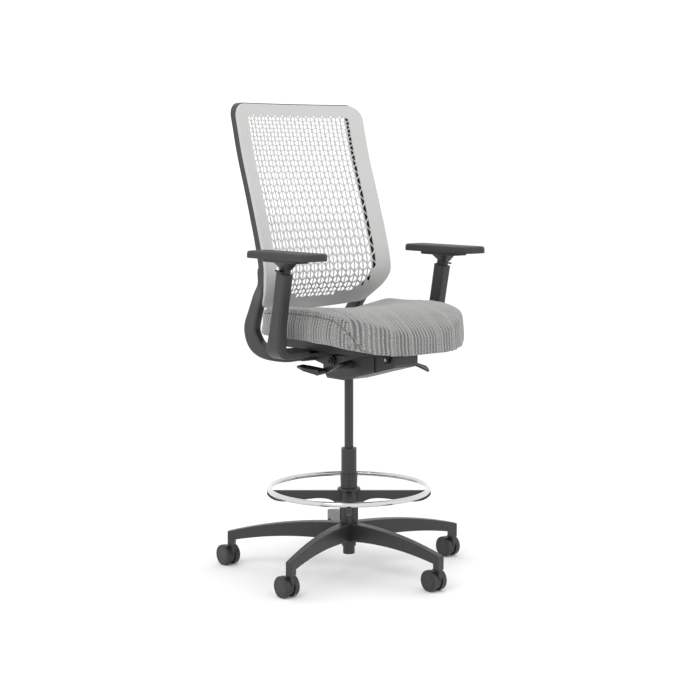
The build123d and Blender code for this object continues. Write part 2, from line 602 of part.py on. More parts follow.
def back_sheet(setback, depth):
    """Slab that follows the back's curved front face, set back along +Y."""
    columns = [-1.06, -0.8, -0.53, -0.27, 0.0, 0.27, 0.53, 0.8, 1.06]
    low_z = BACK_PROFILE[0][0]
    high_z = BACK_PROFILE[-1][0]
    rows = [low_z + (high_z - low_z) * step / 24 for step in range(25)]
    grid = []
    for z in rows:
        grid.append([Vector(BACK_HALF_W * share,
                            profile_y(z) + BACK_BOW * (1 - share * share) + setback, z)
                     for share in columns])
    face = Face.make_surface_from_array_of_points(grid, tol=0.4, min_deg=3, max_deg=5)
    return extrude(face, amount=depth, dir=(0, 1, 0))


def back_outline(inset, corner_top, corner_low):
    """Front view of the back, drawn in the (x, z) plane and cut through along Y."""
    half = BACK_HALF_W - inset
    low_half = BACK_BOTTOM_HALF_W - inset
    top = BACK_TOP_Z - inset
    low = BACK_BOTTOM_Z + inset
    side = Polyline((0, top), (half, top), (half, BACK_WAIST_Z))
    waist = Spline((half, BACK_WAIST_Z), (half - 0.32 * (half - low_half), BACK_WAIST_Z - 50),
                   (low_half, low), tangents=((0, -1), (-0.35, -1)))
    base = Spline((low_half, low), (0, low - BACK_SAG), tangents=((-1, -0.12), (-1, 0)))
    closing = Line((0, low - BACK_SAG), (0, top))
    half_face = make_face((side + waist + base + closing).edges())
    face = half_face + mirror(half_face, about=Plane.YZ)
    high = face.vertices().group_by(Axis.Y)[-1].sort_by(Axis.X)
    face = fillet([high[0], high[-1]], corner_top)
    lows = [v for v in face.vertices() if abs(abs(v.X) - low_half) < 0.01 and v.Y < low + 1]
    face = fillet(lows, corner_low)
    return Pos(0, 600, 0) * extrude(Plane.XZ * face, amount=700)


outer_cut = back_outline(0, BACK_TOP_R, BACK_LOW_R)
rim_cut = back_outline(PANEL_RIM_T, BACK_TOP_R - PANEL_RIM_T, BACK_LOW_R - PANEL_RIM_T)
frame_cut = back_outline(FRAME_W, BACK_TOP_R - FRAME_W + 6, 6)
back_panel = back_sheet(0, PANEL_T) & outer_cut
back_panel = back_panel + (back_sheet(0, PANEL_RIM) & (outer_cut - rim_cut))
save("back_panel", back_panel)

hoop = back_sheet(PANEL_RIM, FRAME_DEPTH) & (outer_cut - frame_cut)
flange_half = BACK_HALF_W - FLANGE_W
flange_low_half = BACK_BOTTOM_HALF_W - FLANGE_W
flange_hole = make_face(Polyline((flange_half, BACK_TOP_Z - FLANGE_TOP), (flange_half, BACK_WAIST_Z + 5),
                                 (flange_low_half, BACK_BOTTOM_Z + 22), (-flange_low_half, BACK_BOTTOM_Z + 22),
                                 (-flange_half, BACK_WAIST_Z + 5), (-flange_half, BACK_TOP_Z - FLANGE_TOP),
                                 close=True))
flange_hole = fillet(flange_hole.vertices(), 18.0)
flange_cut = Pos(0, 600, 0) * extrude(Plane.XZ * flange_hole, amount=700)
hoop = hoop + (back_sheet(PANEL_RIM, FLANGE_T) & (outer_cut - flange_cut))


def arm_of_back():
    """Lower arm of the frame, from the waist down and under the seat, at +X."""
    r = 8.0
    across = (1, 0, 0)
    stations = [
        ((234, 122, 950), (0, 0.05, -1), across, (22, 24)),
        ((229, 131, 908), (0, 0.3, -1), across, (28, 33)),
        ((218, 156, 872), (0, 0.45, -1), across, (28, 42)),
        ((206, 186, 845), (0, 0.5, -1), across, (28, 46)),
        ((198, 220, 792), (0, 0.42, -1), across, (28, 52)),
        ((192, 240, 750), (0, 0.0, -1), across, (28, 60)),
        ((189, 228, 714), (0, -0.65, -0.8), across, (28, 60)),
        ((187, 200, 693), (0, -0.95, -0.35), across, (28, 50)),
        ((184, 163, 684), (-0.03, -1, -0.08), across, (29, 45)),
        ((172, 127, 680), (-0.5, -1, 0), (1, -0.5, 0), (30, 43)),
        ((146, 104, 679), (-1, -0.45, 0), (0.45, -1, 0), (31, 42)),
        ((CARRIER_BEAM_HALF, CARRIER_BEAM_Y, CARRIER_BEAM_Z), (-1, 0, 0), (0, -1, 0),
         (CARRIER_BEAM_W, CARRIER_BEAM_H)),
    ]
    faces = [section(origin, along, cross, size, r)
             for origin, along, cross, size in stations]
    return loft(faces)


panel_room = back_sheet(-20, PANEL_RIM + 20) & outer_cut
left_arm = arm_of_back() - panel_room
back_frame = hoop + left_arm + mirrored_x(left_arm)
save("back_frame", back_frame)

# ================================================================ seat plate
lug_face_r = TILT_PIN_R + 6
plate = block(-PLATE_HALF_W, PLATE_HALF_W, PLATE_FRONT_Y, PLATE_REAR_Y, PLATE_BOTTOM,
              PLATE_BOTTOM + PLATE_T)
plate = fillet(plate.edges().filter_by(Axis.Z), 18.0)
lug = side_prism([(TILT_Y - lug_face_r - 4, PLATE_BOTTOM + 1), (TILT_Y - lug_face_r, TILT_Z),
                  (TILT_Y + lug_face_r, TILT_Z), (TILT_Y + lug_face_r + 4, PLATE_BOTTOM + 1)],
                 LUG_T / 2, lug_x + LUG_T / 2)
lug = lug + cyl_x(lug_face_r, lug_x, lug_x + LUG_T, TILT_Y, TILT_Z)
lug = lug - cyl_x(TILT_PIN_R + RUN_FIT, lug_x - 1, lug_x + LUG_T + 1, TILT_Y, TILT_Z)
plate = plate + lug + mirrored_x(lug)
slot_half_w = STUD_R + SLIDE_GAP
for stud_x in (-STUD_X, STUD_X):
    for stud_y in STUD_YS:
        slot_length = SEAT_TRAVEL + 2 * slot_half_w + 2
        slot = extrude(SlotOverall(slot_length, 2 * slot_half_w), amount=PLATE_T + 2)
        plate = plate - Pos(stud_x, stud_y - SEAT_TRAVEL / 2, PLATE_BOTTOM - 1) * Rot(0, 0, 90) * slot
window = fillet(block(-60, 60, -150, -60, PLATE_BOTTOM - 1, PLATE_BOTTOM + PLATE_T + 1)
                .edges().filter_by(Axis.Z), 14)
plate = plate - window - Pos(0, 100, 0) * window
save("seat_plate", plate)

# ======================================================= seat cushion and pan
def seat_plan(grow, z0, z1):
    """The cushion's plan, drawn in by grow: a bowed front and rounded rear corners."""
    half = SEAT_HALF_W - grow
    front = SEAT_FRONT_Y + grow
    rear = SEAT_REAR_Y - grow
    right = [(half, front + SEAT_NOSE_L), (half - 0.2 * SEAT_HALF_W, front + 0.38 * SEAT_NOSE_L),
             (half - 0.53 * SEAT_HALF_W, front + 0.1 * SEAT_NOSE_L)]
    left = [(-x, y) for x, y in reversed(right)]
    nose = Spline(*right, (0, front), *left, tangents=((0, -1), (0, 1)))
    sides = Polyline(left[-1], (-half, rear), (half, rear), right[0])
    face = make_face((nose + sides).edges())
    corners = [v for v in face.vertices() if v.Y > rear - 1]
    face = fillet(corners, SEAT_REAR_R - grow)
    return Pos(0, 0, z0) * extrude(face, amount=z1 - z0)


def seat_profile():
    crown = SEAT_CROWN_Z
    low = SEAT_BOTTOM_Z
    lip = SEAT_FRONT_BOTTOM_Z
    front = SEAT_FRONT_Y
    rear = SEAT_REAR_Y
    top = Spline((rear, crown - 32), (rear - 60, crown - 13), (rear - 176, crown - 2),
                 (front + 240, crown), (front + 140, crown - 8), (front + 60, crown - 29),
                 (front + 16, crown - 60), (front, crown - 92))
    nose = Polyline((front, crown - 92), (front + 8, lip))
    under = Spline((front + 8, lip), (front + 60, lip + 13), (front + 110, lip + 22),
                   (front + 194, low - 4), (front + 290, low))
    back = Polyline((front + 290, low), (rear, low), (rear, crown - 32))
    return make_face((top + nose + under + back).edges())


cushion = Pos(-SEAT_HALF_W, 0, 0) * extrude(Plane.YZ * seat_profile(), amount=2 * SEAT_HALF_W)
cushion = cushion & seat_plan(0, SEAT_FRONT_BOTTOM_Z - 20, SEAT_CROWN_Z + 20)

pan = block(-PAN_HALF_W, PAN_HALF_W, PAN_FRONT_Y, PAN_REAR_Y, PLATE_BOTTOM + PLATE_T + SLIDE_GAP,
            SEAT_BOTTOM_Z + 20)
pan = fillet(pan.edges().filter_by(Axis.Z), 40.0)
pan = pan & seat_plan(20, 0, 900)
pan = pan - cushion
pan = [solid for solid in pan.solids() if solid.center().Z < SEAT_BOTTOM_Z][0]
side_well = block(PLATE_HALF_W + 8, PAN_HALF_W - PAN_SKIN, PAN_FRONT_Y + 70, PAN_REAR_Y - 40,
                  PLATE_BOTTOM, SEAT_BOTTOM_Z - PAN_SKIN)
pan = pan - side_well - mirrored_x(side_well)
stud_bottom = PLATE_BOTTOM - SLIDE_GAP - 4
for stud_x in (-STUD_X, STUD_X):
    for stud_y in STUD_YS:
        pan = pan + cyl(STUD_R, stud_bottom, PLATE_BOTTOM + PLATE_T + 4, stud_x, stud_y)
        pan = pan + cyl(STUD_HEAD_R, stud_bottom, PLATE_BOTTOM - SLIDE_GAP, stud_x, stud_y)
save("seat_pan", pan)

cushion_top = cushion.faces().sort_by(Axis.Z)[-1]
cushion = fillet(cushion_top.edges(), SEAT_TOP_EDGE_R)
save("seat_cushion", cushion)

# ======================================================================== arms
lean = Vector(0, ARM_TOP[0] - ARM_LOW[0], ARM_TOP[1] - ARM_LOW[1]).normalized()
post_top = Vector(ARM_X, ARM_TOP[0], ARM_TOP[1])
post_plane = Plane(origin=post_top, x_dir=(1, 0, 0), z_dir=lean)


def lean_box(size, low, high, grow=0.0, radius=8.0):
    """Rounded box on the post's leaning axis, from low to high along it."""
    face = RectangleRounded(size[1] + 2 * grow, size[0] + 2 * grow, radius + grow)
    return post_plane * Pos(0, 0, low) * extrude(face, amount=high - low)


def make_arm_post():
    """Leaning post that turns inward under the seat: a front view crossed with a side view."""
    reach_top = ARM_REACH_Z + ARM_REACH_SIZE[1] / 2
    reach_low = ARM_REACH_Z - ARM_REACH_SIZE[1] / 2
    half = POST_THICK / 2
    over = ARM_TOP[1] + 20
    front_view = make_face(Polyline(
        (ARM_X - half, over), (ARM_X + half, over), (ARM_X + half, reach_low),
        (ARM_REACH_END_X, reach_low), (ARM_REACH_END_X, reach_top), (ARM_X - half, reach_top),
        close=True))
    outer = front_view.vertices().sort_by_distance(Vector(ARM_X + half, reach_low, 0))[0]
    front_view = fillet(outer, ELBOW_OUTER_R)
    inner = front_view.vertices().sort_by_distance(Vector(ARM_X - half, reach_top, 0))[0]
    front_view = fillet(inner, ELBOW_INNER_R)
    body = extrude(Plane.XZ * front_view, amount=300, both=True)
    reach = POST_TOP_DEPTH / 2
    rear_top = (ARM_TOP[0] + reach * lean.Z, ARM_TOP[1] - reach * lean.Y)
    front_top = (ARM_TOP[0] - reach * lean.Z, ARM_TOP[1] + reach * lean.Y)
    rear_low = (ARM_REACH_Y + ARM_REACH_SIZE[0] / 2, reach_low - 5)
    front_low = (ARM_REACH_Y - ARM_REACH_SIZE[0] / 2, reach_low - 5)
    heading = (lean.Y, lean.Z)
    rear = Spline(rear_low, (ARM_LOW[0] + POST_LOW_DEPTH / 2, ARM_LOW[1]), rear_top,
                  tangents=((0, 1), heading))
    front = Spline(front_low, (ARM_LOW[0] - POST_LOW_DEPTH / 2, ARM_LOW[1]), front_top,
                   tangents=((0, 1), heading))
    side_view = make_face((rear + front + Line(rear_low, front_low) + Line(rear_top, front_top)).edges())
    body = body & (Pos(ARM_X - 40, 0, 0) * extrude(Plane.YZ * side_view, amount=80, both=True))
    top_face = body.faces().sort_by(Axis.Z)[-1]
    end_face = body.faces().sort_by(Axis.X)[0]
    centres = [edge.center() for edge in top_face.edges() + end_face.edges()]
    long_edges = [edge for edge in body.edges()
                  if min((edge.center() - centre).length for centre in centres) > 0.1
                  and abs(edge.tangent_at(0.5).Y) < 0.9]
    body = fillet(long_edges, ARM_EDGE_R)
    tongue_half = ARM_REACH_SIZE[0] / 2 - 5
    tongue = block(ARM_TONGUE_END_X, ARM_REACH_END_X + 4, ARM_REACH_Y - tongue_half,
                   ARM_REACH_Y + tongue_half, reach_low + 2, PLATE_BOTTOM)
    body = body + tongue
    return body - lean_box(STEM_SIZE, -STEM_DEPTH - 4, 30, SLIDE_GAP)


arm_post = make_arm_post()
save("arm_post_left", arm_post)
save("arm_post_right", mirrored_x(arm_post))

stem = lean_box(STEM_SIZE, -STEM_DEPTH, STEM_RISE)
slot_z = 4.0
slot_h = TRIGGER_T + TRIGGER_TRAVEL + 2 * SLIDE_GAP
trigger_slot = post_plane * Pos(STEM_SIZE[1] / 2, 0, slot_z + slot_h / 2) * Box(
    16, TRIGGER_W + 2 * SLIDE_GAP, slot_h)
stem = stem - trigger_slot
save("arm_stem_left", stem)
save("arm_stem_right", mirrored_x(stem))

trigger_root = 7.0
trigger_reach = 15.0
trigger_z = slot_z + SLIDE_GAP + TRIGGER_T / 2
trigger_mid = STEM_SIZE[1] / 2 + (trigger_reach - trigger_root) / 2
trigger = post_plane * Pos(trigger_mid, 0, trigger_z) * Box(
    trigger_root + trigger_reach, TRIGGER_W, TRIGGER_T)
trigger_tab = post_plane * Pos(STEM_SIZE[1] / 2 + trigger_reach - 4, 0, trigger_z) * Box(
    8, TRIGGER_W + 16, TRIGGER_T)
trigger = trigger + trigger_tab
save("arm_trigger_left", trigger)
save("arm_trigger_right", mirrored_x(trigger))

plate_low_z = BRACKET_TOP_Z - BRACKET_PLATE[2]
stem_end = post_top + lean * STEM_RISE
neck_low = section((stem_end.X, stem_end.Y, stem_end.Z), (lean.X, lean.Y, lean.Z), (0, 1, 0),
                   (STEM_SIZE[0] + 6, STEM_SIZE[1] + 6), 9.0)
neck_high = section((ARM_X, BRACKET_Y, plate_low_z + 1), (0, 0, 1), (0, 1, 0), (74.0, 50.0), 14.0)
bracket = loft([neck_low, neck_high])
bracket_plate = Pos(ARM_X, BRACKET_Y, plate_low_z) * extrude(
    RectangleRounded(BRACKET_PLATE[1], BRACKET_PLATE[0], 20), amount=BRACKET_PLATE[2])
bracket_plate = fillet(bracket_plate.faces().sort_by(Axis.Z)[0].edges(), 3.0)
key = Pos(ARM_X, BRACKET_Y, BRACKET_TOP_Z + KEY_SIZE[2] / 2) * Box(
    KEY_SIZE[1], KEY_SIZE[0], KEY_SIZE[2])
bracket = bracket + bracket_plate + key
save("arm_bracket_left", bracket)
save("arm_bracket_right", mirrored_x(bracket))

pad_z = BRACKET_TOP_Z + SLIDE_GAP
pad = Pos(ARM_X, PAD_Y, pad_z) * extrude(
    RectangleRounded(PAD_WIDTH, PAD_LENGTH, PAD_CORNER_R), amount=PAD_T)
pad = fillet(pad.faces().sort_by(Axis.Z)[-1].edges(), 6.0)
pad = fillet(pad.faces().sort_by(Axis.Z)[0].edges(), 3.0)
channel = Pos(ARM_X, BRACKET_Y, pad_z) * Box(
    KEY_SIZE[1] + 2 * SLIDE_GAP, KEY_SIZE[0] + 2 * PAD_TRAVEL + 2 * SLIDE_GAP,
    2 * KEY_SIZE[2] + 2 * SLIDE_GAP)
pad = pad - channel
save("arm_pad_left", pad)
save("arm_pad_right", mirrored_x(pad))

tongue_low = ARM_REACH_Z - ARM_REACH_SIZE[1] / 2 + 2
screws = []
for side in (-1, 1):
    for screw_x in (ARM_TONGUE_END_X + 12, PLATE_HALF_W - 8):
        for screw_y in (ARM_REACH_Y - 20, ARM_REACH_Y + 20):
            head = cyl(SCREW_HEAD_R, tongue_low - 3.5, tongue_low, side * screw_x, screw_y)
            head = head - cyl(2.2, tongue_low - 4, tongue_low - 1.5, side * screw_x, screw_y)
            screws.append(head)
save("arm_screws", Compound(screws))

# ====================================================================== levers
sleeve = Cone(LEVER_SLEEVE_R[0], LEVER_SLEEVE_R[1], LEVER_SLEEVE_L,
                             align=(Align.CENTER, Align.CENTER, Align.MIN))
sleeve = sleeve + cyl(LEVER_SHAFT_R, -12, 2)
shaft_end = LEVER_SLEEVE_L + sum(PADDLE_HUB_L) + 2 * PART_GAP
sleeve = sleeve + cyl(LEVER_SHAFT_R, LEVER_SLEEVE_L - 1, shaft_end - 4)
lever_shaft = lever_root * sleeve
lever_shaft = lever_shaft - (housing & lever_shaft) if (housing & lever_shaft) else lever_shaft
save("lever_shaft", lever_shaft)


def make_paddle(start, hub_length, reach, fall, heading):
    """Paddle on the lever shaft; heading +1 points to the rear, -1 to the front."""
    closed = start + hub_length
    hub_body = cyl(PADDLE_HUB_R, start, closed)
    root_w = hub_length
    tip_w = hub_length * 0.72
    spread = 6.0 if heading > 0 else 0.0
    outline = [(0, start + 0.5), (reach * 0.55, start + 0.5), (reach, start + (root_w - tip_w) / 2),
               (reach, closed - 2), (reach * 0.6, closed + spread), (0, closed)]
    face = make_face(Polyline(*outline, close=True))
    blade = extrude(Plane(origin=(0, 0, 0), x_dir=(0, 1, 0), z_dir=(1, 0, 0)) * face,
                    amount=PADDLE_HUB_R, both=True)
    side = make_face(Polyline((0, PADDLE_HUB_R - 1), (reach, 3.0), (reach, -3.0),
                              (0, -PADDLE_HUB_R + 1), close=True))
    side_plane = Plane(origin=(0, 0, 0), x_dir=(0, 1, 0), z_dir=(0, 0, 1))
    side = Pos(0, 0, start - 20) * extrude(side_plane * side, amount=hub_length + 60)
    blade = blade & side
    if heading < 0:
        blade = mirror(blade, about=Plane.XZ)
    turn = fall if heading < 0 else -fall
    body = hub_body + Rot(0, 0, turn) * blade
    bore = cyl(LEVER_SHAFT_R + RUN_FIT, start - 1, closed - 3 if heading > 0 else closed + 30)
    return lever_root * (body - bore)


first_start = LEVER_SLEEVE_L + PART_GAP
second_start = first_start + PADDLE_HUB_L[0] + PART_GAP
save("tilt_lever", make_paddle(first_start, PADDLE_HUB_L[0], PADDLE_REACH[0], PADDLE_FALL[0], -1))
save("height_lever", make_paddle(second_start, PADDLE_HUB_L[1], PADDLE_REACH[1], PADDLE_FALL[1], 1))

lock_x = BODY_FRONT_HALF_W + LOCK_HUB_R + 4.0
lock_root = Pos(lock_x, LOCK_LEVER_Y, LOCK_LEVER_Z) * Rot(-90, 0, 0)
lock_hub = lock_root * Pos(0, 0, -LOCK_HUB_L / 2) * cyl(LOCK_HUB_R, 0, LOCK_HUB_L)
lock_shaft_half = LOCK_HUB_L / 2 + PART_GAP + LOCK_EAR_T
lock_shaft = lock_root * cyl(LEVER_SHAFT_R / 2, -lock_shaft_half, lock_shaft_half)
blade_plan = Polyline((0, -6), (LOCK_LEVER_L * 0.5, -7), (LOCK_LEVER_L - 6, -13), (LOCK_LEVER_L, -8),
                      (LOCK_LEVER_L, 8), (LOCK_LEVER_L - 6, 13), (LOCK_LEVER_L * 0.5, 7), (0, 6),
                      close=True)
blade = Pos(0, 0, -4) * extrude(make_face(blade_plan), amount=8)
blade_side = make_face(Polyline((0, 4), (LOCK_LEVER_L, 2), (LOCK_LEVER_L, -2), (0, -4), close=True))
blade = blade & extrude(Plane.XZ * blade_side, amount=30, both=True)
blade = Rot(0, LOCK_LEVER_FALL, 0) * Rot(LOCK_LEVER_ROLL, 0, 0) * blade
blade = Pos(lock_x, LOCK_LEVER_Y, LOCK_LEVER_Z) * blade
lock_lever = lock_hub + lock_shaft + blade
save("lock_lever", lock_lever)

ears = None
for side in (-1, 1):
    ear_y0 = LOCK_LEVER_Y + side * (LOCK_HUB_L / 2 + PART_GAP)
    ear_y1 = ear_y0 + side * LOCK_EAR_T
    ear = block(BODY_FRONT_HALF_W - 1, lock_x + 6, min(ear_y0, ear_y1), max(ear_y0, ear_y1),
                LOCK_LEVER_Z - 7, LOCK_LEVER_Z + 7)
    ears = ear if ears is None else ears + ear
ears = ears - lock_root * cyl(LEVER_SHAFT_R / 2 + RUN_FIT, -lock_shaft_half - 2, lock_shaft_half + 2)
front_cover = front_cover + ears
save("mechanism_front_cover", front_cover)
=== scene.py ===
"""Looks of the drafting chair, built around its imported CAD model. Metres, +Z up, sitter faces -Y."""
import math
import bpy
import numpy as np
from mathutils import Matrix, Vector
from mathutils.bvhtree import BVHTree
from mathutils.geometry import delaunay_2d_cdt
from mathutils.kdtree import KDTree


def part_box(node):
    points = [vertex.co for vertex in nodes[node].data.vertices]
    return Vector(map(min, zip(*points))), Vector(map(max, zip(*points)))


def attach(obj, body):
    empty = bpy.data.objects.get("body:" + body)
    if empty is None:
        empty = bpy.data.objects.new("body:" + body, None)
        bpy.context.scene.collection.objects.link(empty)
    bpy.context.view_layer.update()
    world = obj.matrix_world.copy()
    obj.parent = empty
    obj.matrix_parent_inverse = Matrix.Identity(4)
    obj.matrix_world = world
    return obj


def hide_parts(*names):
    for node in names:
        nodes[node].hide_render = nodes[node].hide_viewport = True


MM = 0.001

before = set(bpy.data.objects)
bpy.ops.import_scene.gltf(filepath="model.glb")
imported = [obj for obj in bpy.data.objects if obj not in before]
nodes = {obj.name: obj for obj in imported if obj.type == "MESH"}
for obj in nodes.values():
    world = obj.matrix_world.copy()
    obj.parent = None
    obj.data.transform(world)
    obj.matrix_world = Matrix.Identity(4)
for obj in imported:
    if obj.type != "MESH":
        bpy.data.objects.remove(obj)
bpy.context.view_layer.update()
scene = bpy.context.scene


# ------------------------------------------------------------------ materials
def linear(value):
    """Linear light for an 8-bit display value."""
    v = value / 255
    return v / 12.92 if v <= 0.04045 else ((v + 0.055) / 1.055) ** 2.4


def rgb(r, g, b):
    return (linear(r), linear(g), linear(b), 1.0)


class Nodes:
    """Short calls for building one material's node tree."""

    def __init__(self, name):
        self.mat = bpy.data.materials.new(name)
        self.mat.use_nodes = True
        self.tree = self.mat.node_tree
        self.shader = self.tree.nodes["Principled BSDF"]
        self.coords = self.tree.nodes.new("ShaderNodeTexCoord")

    def link(self, source, target):
        self.tree.links.new(source, target)

    def put(self, target, value):
        """Links a socket, or sets a constant."""
        if isinstance(value, bpy.types.NodeSocket):
            self.link(value, target)
        else:
            target.default_value = value

    def math(self, operation, a, b=0.0, clamp=False):
        node = self.tree.nodes.new("ShaderNodeMath")
        node.operation = operation
        node.use_clamp = clamp
        self.put(node.inputs[0], a)
        self.put(node.inputs[1], b)
        return node.outputs[0]

    def step(self, value, low, high):
        """0 below low, 1 above high, smooth between."""
        node = self.tree.nodes.new("ShaderNodeMapRange")
        node.interpolation_type = "SMOOTHSTEP"
        self.put(node.inputs["Value"], value)
        node.inputs["From Min"].default_value = low
        node.inputs["From Max"].default_value = high
        return node.outputs["Result"]

    def spread(self, value, low, high):
        """Maps 0..1 to low..high."""
        node = self.tree.nodes.new("ShaderNodeMapRange")
        self.put(node.inputs["Value"], value)
        node.inputs["To Min"].default_value = low
        node.inputs["To Max"].default_value = high
        return node.outputs["Result"]

    def noise(self, scale, detail=3.0, vector=None, roughness=0.5):
        node = self.tree.nodes.new("ShaderNodeTexNoise")
        node.inputs["Scale"].default_value = scale
        node.inputs["Detail"].default_value = detail
        node.inputs["Roughness"].default_value = roughness
        self.link(vector or self.coords.outputs["Object"], node.inputs["Vector"])
        return node.outputs["Fac"]

    def white(self, value):
        """One random number for each value of a number."""
        node = self.tree.nodes.new("ShaderNodeTexWhiteNoise")
        node.noise_dimensions = "1D"
        self.link(value, node.inputs["W"])
        return node.outputs["Value"]

    def split(self, vector):
        node = self.tree.nodes.new("ShaderNodeSeparateXYZ")
        self.link(vector, node.inputs[0])
        return node.outputs

    def join(self, x, y, z):
        node = self.tree.nodes.new("ShaderNodeCombineXYZ")
        for socket, value in zip(node.inputs, (x, y, z)):
            self.put(socket, value)
        return node.outputs[0]

    def mix(self, factor, a, b):
        node = self.tree.nodes.new("ShaderNodeMix")
        node.data_type = "RGBA"
        self.put(node.inputs["Factor"], factor)
        self.put(node.inputs["A"], a)
        self.put(node.inputs["B"], b)
        return node.outputs["Result"]

    def blend(self, factor, a, b):
        """Number mix."""
        node = self.tree.nodes.new("ShaderNodeMix")
        node.data_type = "FLOAT"
        self.put(node.inputs["Factor"], factor)
        self.put(node.inputs["A"], a)
        self.put(node.inputs["B"], b)
        return node.outputs["Result"]

    def bump(self, height, distance, strength=1.0):
        node = self.tree.nodes.new("ShaderNodeBump")
        node.inputs["Strength"].default_value = strength
        node.inputs["Distance"].default_value = distance
        self.link(height, node.inputs["Height"])
        self.link(node.outputs["Normal"], self.shader.inputs["Normal"])


def shade(colour, factor):
    return tuple(c * factor for c in colour[:3]) + (1.0,)


def moulded(name, colour, rough, grain=900.0, grain_depth=0.00012, spread=0.08, metal=0.0, patch=7.0):
    """Moulded or painted surface: faint patches, uneven gloss and a fine grain."""
    n = Nodes(name)
    patches = n.noise(patch, 4.0)
    patched = n.mix(patches, shade(colour, 1 - spread), shade(colour, 1 + spread))
    n.link(patched, n.shader.inputs["Base Color"])
    wear = n.noise(patch * 9, 5.0)
    n.link(n.spread(wear, rough - 0.07, rough + 0.07), n.shader.inputs["Roughness"])
    n.shader.inputs["Metallic"].default_value = metal
    fine = n.noise(grain, 2.0)
    n.bump(fine, grain_depth, 0.5)
    return n.mat


def polished(name, colour, rough, brushed=0.0):
    """Bright metal with faint smears, or brushed along one way."""
    n = Nodes(name)
    smear = n.noise(26.0, 5.0)
    n.link(n.mix(smear, shade(colour, 0.9), shade(colour, 1.04)), n.shader.inputs["Base Color"])
    n.link(n.spread(smear, rough * 0.6, rough * 1.8), n.shader.inputs["Roughness"])
    n.shader.inputs["Metallic"].default_value = 1.0
    x, y, z = n.split(n.coords.outputs["Object"])
    stretched = n.join(n.math("MULTIPLY", x, 40.0), n.math("MULTIPLY", y, 40.0), n.math("MULTIPLY", z, 900.0))
    n.bump(n.noise(1.0, 2.0, stretched), 0.00006, 0.15 + brushed)
    return n.mat


# Each family of dark yarns: pitch, dash length, share of its lanes left faint, seed of its random numbers.
BROAD_YARNS = (0.0118, 0.0068, 0.2, 0.37)
NARROW_YARNS = (0.0059, 0.0052, 0.3, 1.19)
NARROW_DARKNESS = 0.7
YARN_WANDER = 0.003
LANE_SHIFT = 3.0             # keeps the number of every lane above zero
THREADS_ACROSS = 520.0
THREADS_ALONG = 170.0
CLOTH_SHADE = rgb(112, 112, 111)
CLOTH_LIGHT = rgb(166, 166, 164)
YARN_DARK = rgb(14, 14, 15)


def woven(name):
    """Heather seat cloth: dark dashed yarns that run front to back and down the sides, faded on upward faces
    as painted sheen.
    """
    n = Nodes(name)
    x, y, z = n.split(n.coords.outputs["Object"])
    nx, ny, nz = n.split(n.coords.outputs["Normal"])
    side = n.step(n.math("SUBTRACT", n.math("ABSOLUTE", nx), n.math("ABSOLUTE", ny)), 0.16, 0.24)
    side = n.math("MULTIPLY", side, n.step(n.math("ABSOLUTE", nx), 0.5, 0.56))
    across = n.blend(side, x, y)
    along = n.blend(side, n.math("ADD", y, z), z)
    wander = n.noise(14.0, 2.0)
    across = n.math("ADD", across, n.math("MULTIPLY", n.math("SUBTRACT", wander, 0.5), YARN_WANDER))

    def yarns(pitch, dash, faint, seed):
        """Dark share of one family of dashed stripes."""
        lane = n.math("DIVIDE", n.math("ADD", across, LANE_SHIFT + seed), pitch)
        index = n.math("FLOOR", lane)
        offset = n.math("ABSOLUTE", n.math("SUBTRACT", n.math("FRACT", lane), 0.5))
        line = n.math("SUBTRACT", 1.0, n.step(offset, 0.13, 0.25))
        luck = n.white(n.math("ADD", index, seed * 17.0))
        strong = n.step(luck, faint - 0.35, faint + 0.2)
        run = n.math("DIVIDE", n.math("ADD", along, n.math("MULTIPLY", luck, 0.7)), dash)
        beat = n.math("ABSOLUTE", n.math("SUBTRACT", n.math("FRACT", run), 0.5))
        dashes = n.spread(n.step(beat, 0.2, 0.3), 1.0, 0.28)
        return n.math("MULTIPLY", n.math("MULTIPLY", line, strong), dashes)

    broad = yarns(*BROAD_YARNS)
    narrow = yarns(*NARROW_YARNS)
    thread_across = n.math("MULTIPLY", across, THREADS_ACROSS)
    thread_along = n.math("MULTIPLY", along, THREADS_ALONG)
    thread = n.join(thread_across, thread_along, n.math("MULTIPLY", side, 9.0))
    heather = n.noise(1.0, 3.0, thread, 0.65)
    cloud = n.noise(9.0, 3.0)
    dark = n.math("ADD", broad, n.math("MULTIPLY", narrow, NARROW_DARKNESS), clamp=True)
    dark = n.math("MULTIPLY", dark, n.spread(cloud, 0.62, 1.2), clamp=True)
    # Painted sheen: the dark yarns fade on upward-facing cloth, so the top reads lighter as if light grazed
    # it.
    painted_sheen_on_top = n.spread(n.step(nz, 0.55, 0.97), 1.0, 0.4)
    dark = n.math("MULTIPLY", dark, painted_sheen_on_top, clamp=True)
    pale = n.mix(n.step(heather, 0.3, 0.7), CLOTH_SHADE, CLOTH_LIGHT)
    n.link(n.mix(dark, pale, YARN_DARK), n.shader.inputs["Base Color"])
    n.shader.inputs["Roughness"].default_value = 0.9
    n.shader.inputs["Sheen Weight"].default_value = 0.25
    n.shader.inputs["Sheen Roughness"].default_value = 0.6
    raised = n.math("MULTIPLY", n.math("SUBTRACT", 1.0, dark), 0.5)
    n.bump(n.math("ADD", n.math("MULTIPLY", heather, 0.6), raised), 0.0006, 0.6)
    return n.mat


